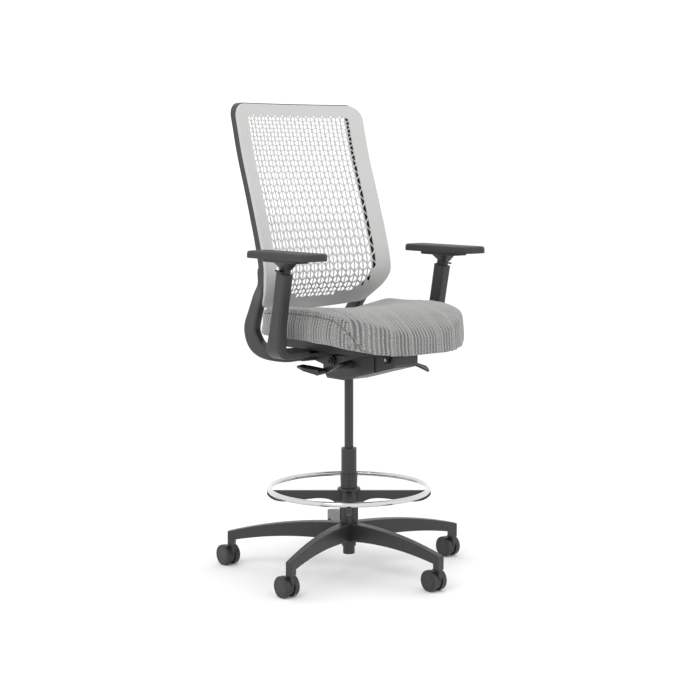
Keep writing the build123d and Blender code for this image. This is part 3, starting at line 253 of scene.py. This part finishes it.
materials = {
    "base_plastic": moulded("base_plastic", rgb(42, 42, 43), 0.42),
    "tube_paint": moulded("tube_paint", rgb(42, 42, 43), 0.4, 600.0, 0.00008),
    "wheel_plastic": moulded("wheel_plastic", rgb(38, 38, 39), 0.38, 1100.0),
    "dark_steel": moulded("dark_steel", rgb(42, 42, 43), 0.36, 500.0, 0.00006, 0.12, 0.7),
    "chrome": polished("chrome", rgb(206, 207, 209), 0.07),
    "bright_steel": polished("bright_steel", rgb(196, 197, 199), 0.22, 0.3),
    "mechanism_cast": moulded("mechanism_cast", rgb(42, 42, 43), 0.46, 420.0, 0.0002, 0.12),
    "mechanism_plastic": moulded("mechanism_plastic", rgb(20, 20, 21), 0.4, 800.0),
    "frame_plastic": moulded("frame_plastic", rgb(40, 40, 41), 0.44, 1000.0, 0.00014),
    "panel_grey": moulded("panel_grey", rgb(184, 184, 183), 0.5, 1200.0, 0.00006, 0.03),
    "seat_fabric": woven("seat_fabric"),
    "pad_urethane": moulded("pad_urethane", rgb(42, 42, 43), 0.58, 500.0, 0.00025, 0.07),
    "seam_thread": moulded("seam_thread", rgb(84, 84, 84), 0.8, 2500.0, 0.0002, 0.2),
}
for node in nodes.values():
    for place in node.material_slots:
        key = place.material.name.split(".")[0] if place.material else ""
        if key in materials:
            place.material = materials[key]
        else:
            print("no material for", node.name, key)


# --------------------------------------------------------------- mesh helpers
def add_mesh(name, vertices, faces, material, smooth_angle=math.radians(35)):
    mesh = bpy.data.meshes.new(name)
    mesh.from_pydata([tuple(v) for v in vertices], [], faces)
    mesh.validate()
    mesh.materials.append(material)
    piece = bpy.data.objects.new(name, mesh)
    scene.collection.objects.link(piece)
    mesh.shade_smooth()
    if smooth_angle:
        mesh.set_sharp_from_angle(angle=smooth_angle)
    return piece


def spline(points, value):
    """Smooth curve through (key, value) points, by cubic pieces with slopes from the neighbouring points."""
    keys = [p[0] for p in points]
    i = int(np.clip(np.searchsorted(keys, value) - 1, 0, len(points) - 2))

    def slope(k):
        if k == 0 or k == len(points) - 1:
            a, b = (0, 1) if k == 0 else (k - 1, k)
            return (points[b][1] - points[a][1]) / (points[b][0] - points[a][0])
        return (points[k + 1][1] - points[k - 1][1]) / (points[k + 1][0] - points[k - 1][0])

    (x0, y0), (x1, y1) = points[i], points[i + 1]
    h = x1 - x0
    t = (value - x0) / h
    return ((2 * t ** 3 - 3 * t ** 2 + 1) * y0 + (t ** 3 - 2 * t ** 2 + t) * h * slope(i)
            + (3 * t ** 2 - 2 * t ** 3) * y1 + (t ** 3 - t ** 2) * h * slope(i + 1))


def curve_points(p0, t0, p1, t1, count):
    """Points along a cubic from p0 to p1, without the last one."""
    made = []
    for k in range(count):
        t = k / count
        a = 2 * t ** 3 - 3 * t ** 2 + 1
        b = t ** 3 - 2 * t ** 2 + t
        c = 3 * t ** 2 - 2 * t ** 3
        d = t ** 3 - t ** 2
        made.append(tuple(a * p0[i] + b * t0[i] + c * p1[i] + d * t1[i] for i in range(2)))
    return made


def rounded(corners, radii, step=4.0):
    """Closed outline through corners, each rounded with its own radius, with points about step apart."""
    path = []
    count = len(corners)
    for i, corner in enumerate(corners):
        here = np.array(corner, float)
        before = np.array(corners[i - 1], float)
        after = np.array(corners[(i + 1) % count], float)
        u = (before - here) / np.linalg.norm(before - here)
        v = (after - here) / np.linalg.norm(after - here)
        half = math.acos(float(np.clip(u @ v, -1, 1))) / 2
        if radii[i] <= 0 or half > math.radians(88):
            path.append(here)
            continue
        reach = radii[i] / math.tan(half)
        middle = (u + v) / np.linalg.norm(u + v)
        centre = here + middle * radii[i] / math.sin(half)
        a = here + u * reach - centre
        b = here + v * reach - centre
        total = math.pi - 2 * half
        steps = max(4, int(radii[i] * total / step) + 1)
        for k in range(steps + 1):
            w = k / steps
            path.append(centre + (math.sin((1 - w) * total) * a + math.sin(w * total) * b) / math.sin(total))
    dense = []
    for i, point in enumerate(path):
        nxt = path[(i + 1) % len(path)]
        parts = max(1, int(np.linalg.norm(nxt - point) / (step * 1.5)))
        for k in range(parts):
            dense.append(point + (nxt - point) * k / parts)
    return np.array(dense)


def inset(loop, distance):
    """Loop moved inwards along its own normals; loops run counter-clockwise."""
    ahead = np.roll(loop, -1, axis=0) - loop
    behind = loop - np.roll(loop, 1, axis=0)
    ahead = ahead / np.linalg.norm(ahead, axis=1)[:, None]
    behind = behind / np.linalg.norm(behind, axis=1)[:, None]
    tangent = ahead + behind
    tangent /= np.linalg.norm(tangent, axis=1)[:, None]
    normal = np.stack([-tangent[:, 1], tangent[:, 0]], axis=1)
    return loop + normal * distance


def counter_clockwise(loop):
    x, y = loop[:, 0], loop[:, 1]
    area = float(np.sum(x * np.roll(y, -1) - y * np.roll(x, -1)))
    return loop if area > 0 else loop[::-1]


def inside(loop, point):
    """Whether a point is inside a closed outline."""
    x, y = point
    x0, y0 = loop[:, 0], loop[:, 1]
    x1, y1 = np.roll(x0, -1), np.roll(y0, -1)
    crosses = (y0 > y) != (y1 > y)
    with np.errstate(divide="ignore", invalid="ignore"):
        at = (x1 - x0) * (y - y0) / (y1 - y0) + x0
    return int(np.count_nonzero(crosses & (x < at))) % 2 == 1


# ----------------------------------------------------------- perforated panel
# Millimetres in this section: x across, z up the back.
HALF_W = 249.0
TOP_Z = 1448.0               # 3 mm under the frame's top, which shows above it as a dark edge
TOP_CORNER_R = 46.0
WAIST_Z = 930.0
HIP = (234.9, 880.0)
LOW_Z = 824.0
LOW_HALF_W = 205.0
LOW_CORNER = 16.0
BOW = 40.0                   # how far the middle lies behind the sides
SAG = 16.0                   # how far the middle of the bottom edge hangs below its ends
SKIN = 4.0
RIM_DEPTH = 12.9
RIM_T = 4.0
EDGE_ROUND = 1.8
HOLE_ROUND = 0.45
PROFILE = [(790, 186), (806, 171), (826, 155), (850, 132), (887, 103), (927, 90), (967, 93),
           (1041, 113), (1166, 154), (1295, 199), (1442, 238), (1465, 243)]
PITCH = 31.0                 # between the middles of neighbouring cells in one row
WEB = 1.4                    # half the width of an upright web
FIELD_TOP_Z = 1403.0
FIELD_END_Z = 853.0
ARC_POWER = 1.7              # 2 would make the half-moons parts of parabolas
ROW_STEPS = [(855, 12.0), (885, 15.0), (910, 19.0), (940, 22.0), (980, 24.5), (1010, 26.5), (1050, 26.0),
             (1100, 24.5), (1150, 23.5), (1200, 21.0), (1250, 18.8), (1300, 16.0), (1350, 13.2), (1403, 11.8)]
FIELD_LOW = [(0, 850), (100, 856), (140, 866), (170, 879), (190, 908), (200, 950), (260, 1000)]
CELLS_ASIDE = 13
TOP_HOLE = (4.6, 2.6)        # half width and half height of the small holes over the first row
TOP_HOLE_RISE = 8.6
TOP_HOLES_HALF_W = 195.0
MESH_STEP = 8.0              # between the spare points that keep the triangles even


def panel_point(x, z, depth=0.0):
    """A point of the back's curved face, or that far behind it."""
    y = spline(PROFILE, z) + BOW * (1 - (x / HALF_W) ** 2) + depth
    return (x * MM, y * MM, z * MM)


def panel_outline():
    """Outer edge of the panel, counter-clockwise."""
    waist = curve_points((HALF_W, WAIST_Z), (0, -52), HIP, (-20, -50), 9)
    hip = curve_points(HIP, (-25, -54), (LOW_HALF_W, LOW_Z), (-21, -60), 10)
    hem = curve_points((LOW_HALF_W, LOW_Z), (-205, -24), (0, LOW_Z - SAG), (-205, 0), 34)
    corner_x = HALF_W - TOP_CORNER_R
    corner_z = TOP_Z - TOP_CORNER_R
    right = [(HALF_W, z) for z in np.linspace(corner_z, WAIST_Z, 60)[:-1]] + waist + hip
    corner = [(corner_x + TOP_CORNER_R * math.cos(a), corner_z + TOP_CORNER_R * math.sin(a))
              for a in np.linspace(math.pi / 2, 0, 14)[:-1]]
    top = [(x, TOP_Z) for x in np.linspace(0, corner_x, 26)[:-1]]
    edge = top + corner + right + hem
    edge = [p for p in edge if not (p[0] > LOW_HALF_W - LOW_CORNER and p[1] < LOW_Z + LOW_CORNER)]
    low_end = [i for i, p in enumerate(edge) if p[1] < LOW_Z + 30 and p[0] < LOW_HALF_W - LOW_CORNER + 1][0]
    p0, p1 = np.array(edge[low_end - 1]), np.array(edge[low_end])
    tip = np.array((LOW_HALF_W - 1.0, LOW_Z + 0.5))
    bend = [tuple((1 - t) ** 2 * p0 + 2 * t * (1 - t) * tip + t * t * p1) for t in np.linspace(0, 1, 9)[1:-1]]
    edge = edge[:low_end] + bend + edge[low_end:]
    mirrored = [(-x, z) for x, z in reversed(edge[1:])]
    return counter_clockwise(np.array(edge + [(0, LOW_Z - SAG)] + mirrored))


def half_moon(step):
    """Outline of one half-moon hole in a row of this height, its straight side along u = WEB."""
    tall = step * (0.63 + 0.06 * min(1.0, max(0.0, (step - 14) / 10)))
    wide = PITCH / 2 - WEB
    high = tall * (1 - WEB / wide) ** (1 / ARC_POWER)
    arc = [high * math.sin(a) for a in np.linspace(-math.pi / 2, math.pi / 2, 11)]
    shape = [(wide * (1 - (abs(v) / tall) ** ARC_POWER), v) for v in arc]
    shape[0] = (shape[0][0] + 0.5, shape[0][1] + 0.3)
    shape[-1] = (shape[-1][0] + 0.5, shape[-1][1] - 0.3)
    return shape + [(WEB, high * 0.9), (WEB, 0.0), (WEB, -high * 0.9)]


def small_hole(x, z, half_w, half_h):
    """Oval hole of ten points."""
    return [(x + half_w * math.cos(t), z + half_h * math.sin(t))
            for t in np.linspace(0, 2 * math.pi, 10, endpoint=False)]


def hole_loops():
    """Outlines of the half-moon holes and of the small ones over them, with their grown copies."""
    rows = [FIELD_TOP_Z]
    while rows[-1] > FIELD_END_Z:
        rows.append(rows[-1] - spline(ROW_STEPS, rows[-1]))
    low_x = [p[0] for p in FIELD_LOW]
    low_z = [p[1] for p in FIELD_LOW]
    loops = []
    half = PITCH / 2
    for r, z in enumerate(rows):
        shape = half_moon(spline(ROW_STEPS, z))
        for j in range(-CELLS_ASIDE, CELLS_ASIDE):
            if z < np.interp(abs(half * (j + 0.5)), low_x, low_z):
                continue
            start, way = (half * j, 1) if (j + r) % 2 == 0 else (half * (j + 1), -1)
            loops.append([(start + way * u, z + v) for u, v in shape])
    for k in range(-7, 7):
        x = PITCH * (k + 0.5)
        if abs(x) < TOP_HOLES_HALF_W:
            loops.append(small_hole(x, rows[0] + TOP_HOLE_RISE, *TOP_HOLE))
    shaped = [counter_clockwise(np.array(loop)) for loop in loops]
    return shaped, [inset(loop, -HOLE_ROUND) for loop in shaped]


def spare_points(inner, grown, points, owner):
    """Points of a triangular grid inside the rim that keep clear of the holes and of the edges."""
    tree = KDTree(len(points))
    for i, p in enumerate(points):
        tree.insert((p[0], p[1], 0), i)
    tree.balance()
    spare = []
    for ix in range(-31, 32):
        for iz in range(0, 82):
            p = (ix * MESH_STEP + (MESH_STEP / 2 if iz % 2 else 0.0), 806.0 + iz * MESH_STEP)
            _, nearest, gap = tree.find((p[0], p[1], 0))
            if gap <= MESH_STEP / 2 or not inside(inner, p):
                continue
            if owner[nearest] >= 0 and inside(grown[owner[nearest]], p):
                continue
            spare.append(p)
    return spare


def kept_triangles(flat, triangles, label, grown):
    """Counter-clockwise triangles of the sheet, without those that fill a hole."""
    kept = []
    for triangle in triangles:
        tri = list(triangle)
        owners = {label[v] for v in tri}
        middle = np.mean([flat[v] for v in tri], axis=0)
        if len(owners) == 1 and min(owners) >= 0 and inside(grown[owners.pop()], middle):
            continue
        (ax, ay), (bx, by), (cx, cy) = (flat[v] for v in tri)
        if (bx - ax) * (cy - ay) - (by - ay) * (cx - ax) < 0:
            tri.reverse()
        kept.append(tri)
    return kept


def build_panel():
    """Thin curved sheet with rounded holes and a rim turned back along its edge."""
    outer_label, inner_label, spare_label = -1, -2, -3
    outline = panel_outline()
    outer = inset(outline, EDGE_ROUND)
    inner = inset(outline, RIM_T)
    holes, grown = hole_loops()
    points, edges, owner, starts = [], [], [], []

    def add_loop(loop, label):
        start = len(points)
        points.extend(tuple(p) for p in loop)
        owner.extend([label] * len(loop))
        edges.extend((start + i, start + (i + 1) % len(loop)) for i in range(len(loop)))
        return start

    add_loop(outer, outer_label)
    inner_start = add_loop(inner, inner_label)
    for h, loop in enumerate(grown):
        starts.append(add_loop(loop, h))
    spare = spare_points(inner, grown, points, owner)
    points += spare
    owner += [spare_label] * len(spare)
    found = delaunay_2d_cdt([Vector(p) for p in points], edges, [], 1, 1e-6)
    flat = [tuple(v) for v in found[0]]
    source = [ids[0] if ids else None for ids in found[3]]
    label = [owner[i] if i is not None else spare_label for i in source]
    kept = kept_triangles(flat, found[2], label, grown)

    def on_rim(tri):
        labels = {label[v] for v in tri}
        return labels <= {outer_label, inner_label} and outer_label in labels

    vertices = [panel_point(x, z) for x, z in flat]
    back_start = len(vertices)
    vertices += [panel_point(x, z, SKIN) for x, z in flat]
    faces = [tuple(tri) for tri in kept]
    faces += [tuple(reversed([back_start + v for v in tri])) for tri in kept if not on_rim(tri)]
    front_of = {}
    for i, s in enumerate(source):
        if s is not None:
            front_of.setdefault(s, i)

    def ring(loop, depth):
        start = len(vertices)
        vertices.extend(panel_point(x, z, depth) for x, z in loop)
        return [start + i for i in range(len(loop))]

    def wall(a, b):
        """Quads between two rings; their order sets the way that they face."""
        for i in range(len(a)):
            j = (i + 1) % len(a)
            faces.append((a[i], a[j], b[j], b[i]))

    for loop, start in zip(holes, starts):
        front = [front_of[start + i] for i in range(len(loop))]
        near = ring(loop, HOLE_ROUND)
        far = ring(loop, SKIN - HOLE_ROUND)
        back = [back_start + v for v in front]
        wall(near, front)
        wall(far, near)
        wall(back, far)
    rings = [[front_of[i] for i in range(len(outer))]]
    rings += [ring(inset(outline, 0.9), 0.25), ring(inset(outline, 0.25), 0.9), ring(outline, 1.9)]
    rings += [ring(outline, RIM_DEPTH), ring(inner, RIM_DEPTH)]
    rings.append([back_start + front_of[inner_start + i] for i in range(len(inner))])
    for a, b in zip(rings, rings[1:]):
        wall(a, b)
    return add_mesh("back_panel_perforated", vertices, faces, materials["panel_grey"], math.radians(40))


panel = build_panel()
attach(panel, "back")
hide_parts("back_panel")


# ------------------------------------------------------------------- cushion
VOXEL = 0.006
SWELL_CAP = 0.006            # the most that the simulated pressure moves the cover
SHRINK = 0.003               # drawn in first, so that the swelling stays near the CAD solid
DISH_DEPTH = 0.033  # the deepest that the top sinks
DISH_HALF_W = 0.235
DISH_FRONT_Y = -0.235
DISH_RUN = 0.26
CORNER_X = 0.17              # past this and CORNER_Y the front corners are softened
CORNER_Y = -0.15
CORNER_FADE = 0.05
CORNER_ROUNDS = 36
NOSE_L = 0.160               # length of the bowed front
REAR_R = 0.084
SEAM_DROP = 0.017            # from the cushion's highest point to the seam's
SEAM_FRONT_DROP = 0.110      # how far the seam falls at each front corner
SEAM_DEPTH = 0.0030
SEAM_W = 0.0035
THREAD_R = 0.0009


def evaluated_copy(piece):
    graph = bpy.context.evaluated_depsgraph_get()
    return bpy.data.meshes.new_from_object(piece.evaluated_get(graph))


def coordinates(mesh):
    co = np.empty(len(mesh.vertices) * 3)
    mesh.vertices.foreach_get("co", co)
    return co.reshape(-1, 3)


def normals(mesh):
    no = np.empty(len(mesh.vertices) * 3)
    mesh.vertex_normals.foreach_get("vector", no)
    return no.reshape(-1, 3)


def set_coordinates(mesh, co):
    mesh.vertices.foreach_set("co", np.asarray(co, float).reshape(-1))
    mesh.update()


def smoothed(mesh, co, rounds, share=0.5):
    """Points moved towards the mean of their neighbours."""
    pairs = np.empty(len(mesh.edges) * 2, int)
    mesh.edges.foreach_get("vertices", pairs)
    pairs = pairs.reshape(-1, 2)
    count = np.zeros(len(co))
    np.add.at(count, pairs[:, 0], 1)
    np.add.at(count, pairs[:, 1], 1)
    for _ in range(rounds):
        total = np.zeros_like(co)
        np.add.at(total, pairs[:, 0], co[pairs[:, 1]])
        np.add.at(total, pairs[:, 1], co[pairs[:, 0]])
        co = co + (total / count[:, None] - co) * share
    return co


def seat_dish(co, no):
    """How far the top sinks: most in the middle of the rear half, nothing at the sides and the front."""
    across = np.clip(1 - (co[:, 0] / DISH_HALF_W) ** 2, 0, 1)
    along = np.clip((co[:, 1] - DISH_FRONT_Y) / DISH_RUN, 0, 1)
    along = along * along * (3 - 2 * along)
    topmost = np.clip((no[:, 2] - 0.2) / 0.5, 0, 1)
    return DISH_DEPTH * across * along * topmost


def swollen(cushion, mesh, co, held):
    """Points of the cover after a short pressure simulation, each moved by the cap at most."""
    group = cushion.vertex_groups.new(name="held")
    group.add([int(i) for i in np.nonzero(held)[0]], 1.0, "REPLACE")
    cloth = cushion.modifiers.new("cloth", "CLOTH")
    cloth.settings.use_pressure = True
    cloth.settings.uniform_pressure_force = 4.0
    cloth.settings.quality = 4
    cloth.settings.vertex_group_mass = "held"
    cloth.settings.effector_weights.gravity = 0.0
    for number in range(1, 21):
        scene.frame_set(number)
    move = coordinates(evaluated_copy(cushion)) - co
    scene.frame_set(1)
    cushion.modifiers.clear()
    size = np.linalg.norm(move, axis=1)
    move *= np.minimum(1.0, SWELL_CAP / np.maximum(size, 1e-9))[:, None]
    return smoothed(mesh, co + move, 4)


def even_voxels(cushion):
    """Mesh of even voxels, its -X half mirrored from the +X one."""
    even = cushion.modifiers.new("even_sides", "MIRROR")
    even.use_axis[0] = True
    even.use_bisect_axis[0] = True
    remesh = cushion.modifiers.new("voxels", "REMESH")
    remesh.mode = "VOXEL"
    remesh.voxel_size = VOXEL
    mesh = evaluated_copy(cushion)
    cushion.modifiers.clear()
    cushion.data = mesh
    return mesh


def soften_corners(mesh, co):
    """Rounds the cushion's two front corners."""
    sideways = np.clip((np.abs(co[:, 0]) - CORNER_X) / CORNER_FADE, 0, 1)
    forward = np.clip((CORNER_Y - co[:, 1]) / CORNER_FADE, 0, 1)
    return co + (smoothed(mesh, co, CORNER_ROUNDS) - co) * (sideways * forward)[:, None]


def build_cushion():
    """Padded seat: the CAD solid swollen by pressure, dished, and kept within the CAD solid's box in plan."""
    low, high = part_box("seat_cushion")
    cushion = bpy.data.objects.new("seat_cushion_soft", nodes["seat_cushion"].data.copy())
    scene.collection.objects.link(cushion)
    mesh = even_voxels(cushion)
    co = soften_corners(mesh, smoothed(mesh, coordinates(mesh), 3))
    set_coordinates(mesh, co)
    no = normals(mesh)
    under = no[:, 2] < -0.6
    co = co - no * SHRINK * (~under)[:, None]
    set_coordinates(mesh, co)
    co = swollen(cushion, mesh, co, under)
    set_coordinates(mesh, co)
    co[:, 2] -= seat_dish(co, normals(mesh))
    set_coordinates(mesh, co)
    finer = cushion.modifiers.new("finer", "SUBSURF")
    finer.levels = 1
    finer.render_levels = 1
    mesh = evaluated_copy(cushion)
    cushion.modifiers.clear()
    cushion.data = mesh
    co = coordinates(mesh)
    centre = np.array([0.0, (low.y + high.y) / 2, 0.0])
    limit = np.array([high.x, (high.y - low.y) / 2, 9.0])
    set_coordinates(mesh, centre + np.clip(co - centre, -limit, limit))
    mesh.materials.clear()
    mesh.materials.append(materials["seat_fabric"])
    mesh.shade_smooth()
    return cushion


cushion = build_cushion()


def nose_point(share):
    """Plan point on the bowed front's +X half: 0 where the side ends, 1 at the middle of the front."""
    low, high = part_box("seat_cushion")
    half = high.x
    places = [(0.0, (half, low.y + NOSE_L)), (0.36, (half * 0.8, low.y + 0.38 * NOSE_L)),
              (0.62, (half * 0.47, low.y + 0.1 * NOSE_L)), (1.0, (0.0, low.y))]
    return tuple(spline([(k, p[axis]) for k, p in places], share) for axis in (0, 1))


def seam_path():
    """Seam of the side strip: along the sides' top edge and round the rear, down at both front corners."""
    low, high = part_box("seat_cushion")
    top = high.z - SEAM_DROP
    front_y = low.y + NOSE_L
    side_end_y = high.y - REAR_R
    path = []
    for share in np.linspace(0.4, 0.0, 16):
        x, y = nose_point(share)
        path.append((x, y, top - 0.010 - SEAM_FRONT_DROP * (share / 0.4) ** 1.6))
    for y in np.linspace(front_y, side_end_y, 40)[1:]:
        along = (y - front_y) / (side_end_y - front_y)
        path.append((high.x, y, top - 0.010 * (1 - along) ** 2 - 0.014 * along ** 2))
    for turn in np.linspace(0, 90, 12)[1:]:
        a = math.radians(turn)
        x = high.x - REAR_R + REAR_R * math.cos(a)
        path.append((x, side_end_y + REAR_R * math.sin(a), top - 0.014 - 0.012 * turn / 90))
    for x in np.linspace(high.x - REAR_R, 0, 16)[1:]:
        path.append((x, high.y, top - 0.026))
    mirrored = [(-x, y, z) for x, y, z in reversed(path[:-1])]
    return path + mirrored


def press_seam(piece, path, depth, width):
    """Sinks a groove into the mesh along a path laid on it, and returns the path on the surface."""
    mesh = piece.data
    co, no = coordinates(mesh), normals(mesh)
    surface = BVHTree.FromPolygons([tuple(c) for c in co], [tuple(p.vertices) for p in mesh.polygons])
    dense = []
    for a, b in zip(path, path[1:]):
        a, b = Vector(a), Vector(b)
        steps = max(1, int((b - a).length / 0.0015))
        for k in range(steps):
            dense.append(a.lerp(b, k / steps))
    laid = [surface.find_nearest(p) for p in dense]
    tree = KDTree(len(laid))
    for i, hit in enumerate(laid):
        tree.insert(hit[0], i)
    tree.balance()
    distance = np.array([tree.find(c)[2] for c in co])
    co = co - no * (depth * np.exp(-(distance / width) ** 2))[:, None]
    set_coordinates(mesh, co)
    pressed = []
    for place, normal, _, _ in laid:
        outward = 1 if normal.dot(Vector((place.x, place.y, 0))) > 0 else -1
        pressed.append(place - normal * (depth * 0.75) * outward)
    return pressed


def tube(name, path, radius, material, sides=8):
    """Thin round thread along a path."""
    vertices, faces = [], []
    for i, p in enumerate(path):
        along = (path[min(i + 1, len(path) - 1)] - path[max(i - 1, 0)]).normalized()
        u = along.cross(Vector((0.13, 0.27, 0.95))).normalized()
        v = along.cross(u).normalized()
        for k in range(sides):
            a = 2 * math.pi * k / sides
            vertices.append(p + (u * math.cos(a) + v * math.sin(a)) * radius)
    for i in range(len(path) - 1):
        for k in range(sides):
            m = (k + 1) % sides
            faces.append((i * sides + k, i * sides + m, (i + 1) * sides + m, (i + 1) * sides + k))
    faces.append(tuple(range(sides - 1, -1, -1)))
    faces.append(tuple((len(path) - 1) * sides + k for k in range(sides)))
    return add_mesh(name, vertices, faces, material)


sunk = press_seam(cushion, seam_path(), SEAM_DEPTH, SEAM_W)
seam = tube("seat_seam_thread", sunk[::2], THREAD_R, materials["seam_thread"])
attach(cushion, "seat")
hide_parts("seat_cushion")
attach(seam, "seat")


# ------------------------------------------------------------------ arm pads
PAD_CORNER_R = 26.0
PAD_CROWN_W = 20.0           # how far in from the edge the top stops rising


def build_pad(side):
    """Self-skinned arm pad: flat under, full round edge, slightly crowned top."""
    low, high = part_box("arm_pad_" + side)
    corners = [(low.x, low.y), (high.x, low.y), (high.x, high.y), (low.x, high.y)]
    outline = rounded([(x / MM, y / MM) for x, y in corners], [PAD_CORNER_R] * 4, 2.6)
    base, top = low.z / MM, high.z / MM
    levels = [(2.2, base), (0.9, base + 0.5), (0.2, base + 1.8), (0.0, base + 4.0), (0.0, base + 9.0),
              (0.25, base + 13.0), (0.9, top - 5.6), (2.0, top - 3.6), (3.6, top - 2.2), (5.8, top - 1.3),
              (9.0, top - 0.75), (14.0, top - 0.4), (PAD_CROWN_W, top - 0.2)]
    vertices, faces = [], []
    count = len(outline)
    for distance, z in levels:
        vertices += [(x * MM, y * MM, z * MM) for x, y in inset(outline, distance)]
    last = inset(outline, PAD_CROWN_W)
    middle = last.mean(axis=0)
    for share in (0.66, 0.33):
        vertices += [((middle[0] + (x - middle[0]) * share) * MM, (middle[1] + (y - middle[1]) * share) * MM,
                      (top - 0.1 * share) * MM) for x, y in last]
    rows = len(levels) + 2
    for r in range(rows - 1):
        for i in range(count):
            j = (i + 1) % count
            faces.append((r * count + i, r * count + j, (r + 1) * count + j, (r + 1) * count + i))
    faces.append(tuple(reversed(range(count))))
    faces.append(tuple((rows - 1) * count + i for i in range(count)))
    pad = add_mesh("arm_pad_soft_" + side, vertices, faces, materials["pad_urethane"], math.radians(60))
    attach(pad, "arm_pad_" + side)
    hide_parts("arm_pad_" + side)


build_pad("left")
build_pad("right")


# --------------------------------------------------------- floor and lighting
def floor_material():
    n = Nodes("studio_floor")
    patches = n.noise(0.7, 3.0)
    n.link(n.mix(patches, rgb(247, 247, 247), rgb(251, 251, 251)), n.shader.inputs["Base Color"])
    n.shader.inputs["Roughness"].default_value = 0.85
    n.bump(n.noise(60.0, 2.0), 0.0002, 0.1)
    return n.mat


FLOOR_R = 30.0
FLOOR_SIDES = 96
turns = [2 * math.pi * k / FLOOR_SIDES for k in range(FLOOR_SIDES)]
floor_edge = [(FLOOR_R * math.cos(a), FLOOR_R * math.sin(a), 0.0) for a in turns]
floor = add_mesh("studio_floor", floor_edge, [tuple(range(FLOOR_SIDES))], floor_material(), None)

HORIZON_LIGHT = 1.25
ZENITH_LIGHT = 1.02


def studio_world():
    """White surroundings, a little brighter at the horizon than overhead."""
    world = bpy.data.worlds.new("studio")
    scene.world = world
    world.use_nodes = True
    tree = world.node_tree
    background = tree.nodes["Background"]
    heading = tree.nodes.new("ShaderNodeTexCoord")
    parts = tree.nodes.new("ShaderNodeSeparateXYZ")
    height = tree.nodes.new("ShaderNodeMapRange")
    tree.links.new(heading.outputs["Generated"], parts.inputs[0])
    tree.links.new(parts.outputs["Z"], height.inputs["Value"])
    height.inputs["From Min"].default_value = 0.1
    height.inputs["From Max"].default_value = 1.0
    height.inputs["To Min"].default_value = HORIZON_LIGHT
    height.inputs["To Max"].default_value = ZENITH_LIGHT
    tree.links.new(height.outputs["Result"], background.inputs["Strength"])
    background.inputs["Color"].default_value = (1.0, 1.0, 1.0, 1.0)


def area_light(name, place, target, size, power):
    data = bpy.data.lights.new(name, "AREA")
    data.shape = "DISK"
    data.size = size
    data.energy = power
    light = bpy.data.objects.new(name, data)
    scene.collection.objects.link(light)
    light.location = place
    light.rotation_euler = (Vector(target) - Vector(place)).to_track_quat("-Z", "Y").to_euler()


studio_world()
area_light("key", (-2.6, -1.2, 3.4), (0, 0, 0.8), 1.6, 27.0)
area_light("top", (0.6, -0.8, 4.0), (0, 0, 0.7), 2.2, 16.0)

# --------------------------------------------------------------------- camera
CAMERA_PLACE = (-3.192, -3.859, 1.284)
CAMERA_DIP = 6.73            # degrees down from level
CAMERA_TURN = 39.6           # degrees from +Y towards +X
FOCAL_MM = 84.07
SENSOR_MM = 36.0

camera_data = bpy.data.cameras.new("photo_view")
camera = bpy.data.objects.new("photo_view", camera_data)
scene.collection.objects.link(camera)
camera.location = CAMERA_PLACE
camera.rotation_euler = (math.radians(90 - CAMERA_DIP), 0.0, math.radians(-CAMERA_TURN))
camera_data.lens = FOCAL_MM
camera_data.sensor_width = SENSOR_MM
camera_data.shift_x = 0.0014
camera_data.clip_end = 100.0
scene.camera = camera
scene.view_settings.view_transform = "Standard"
scene.view_settings.look = "None"
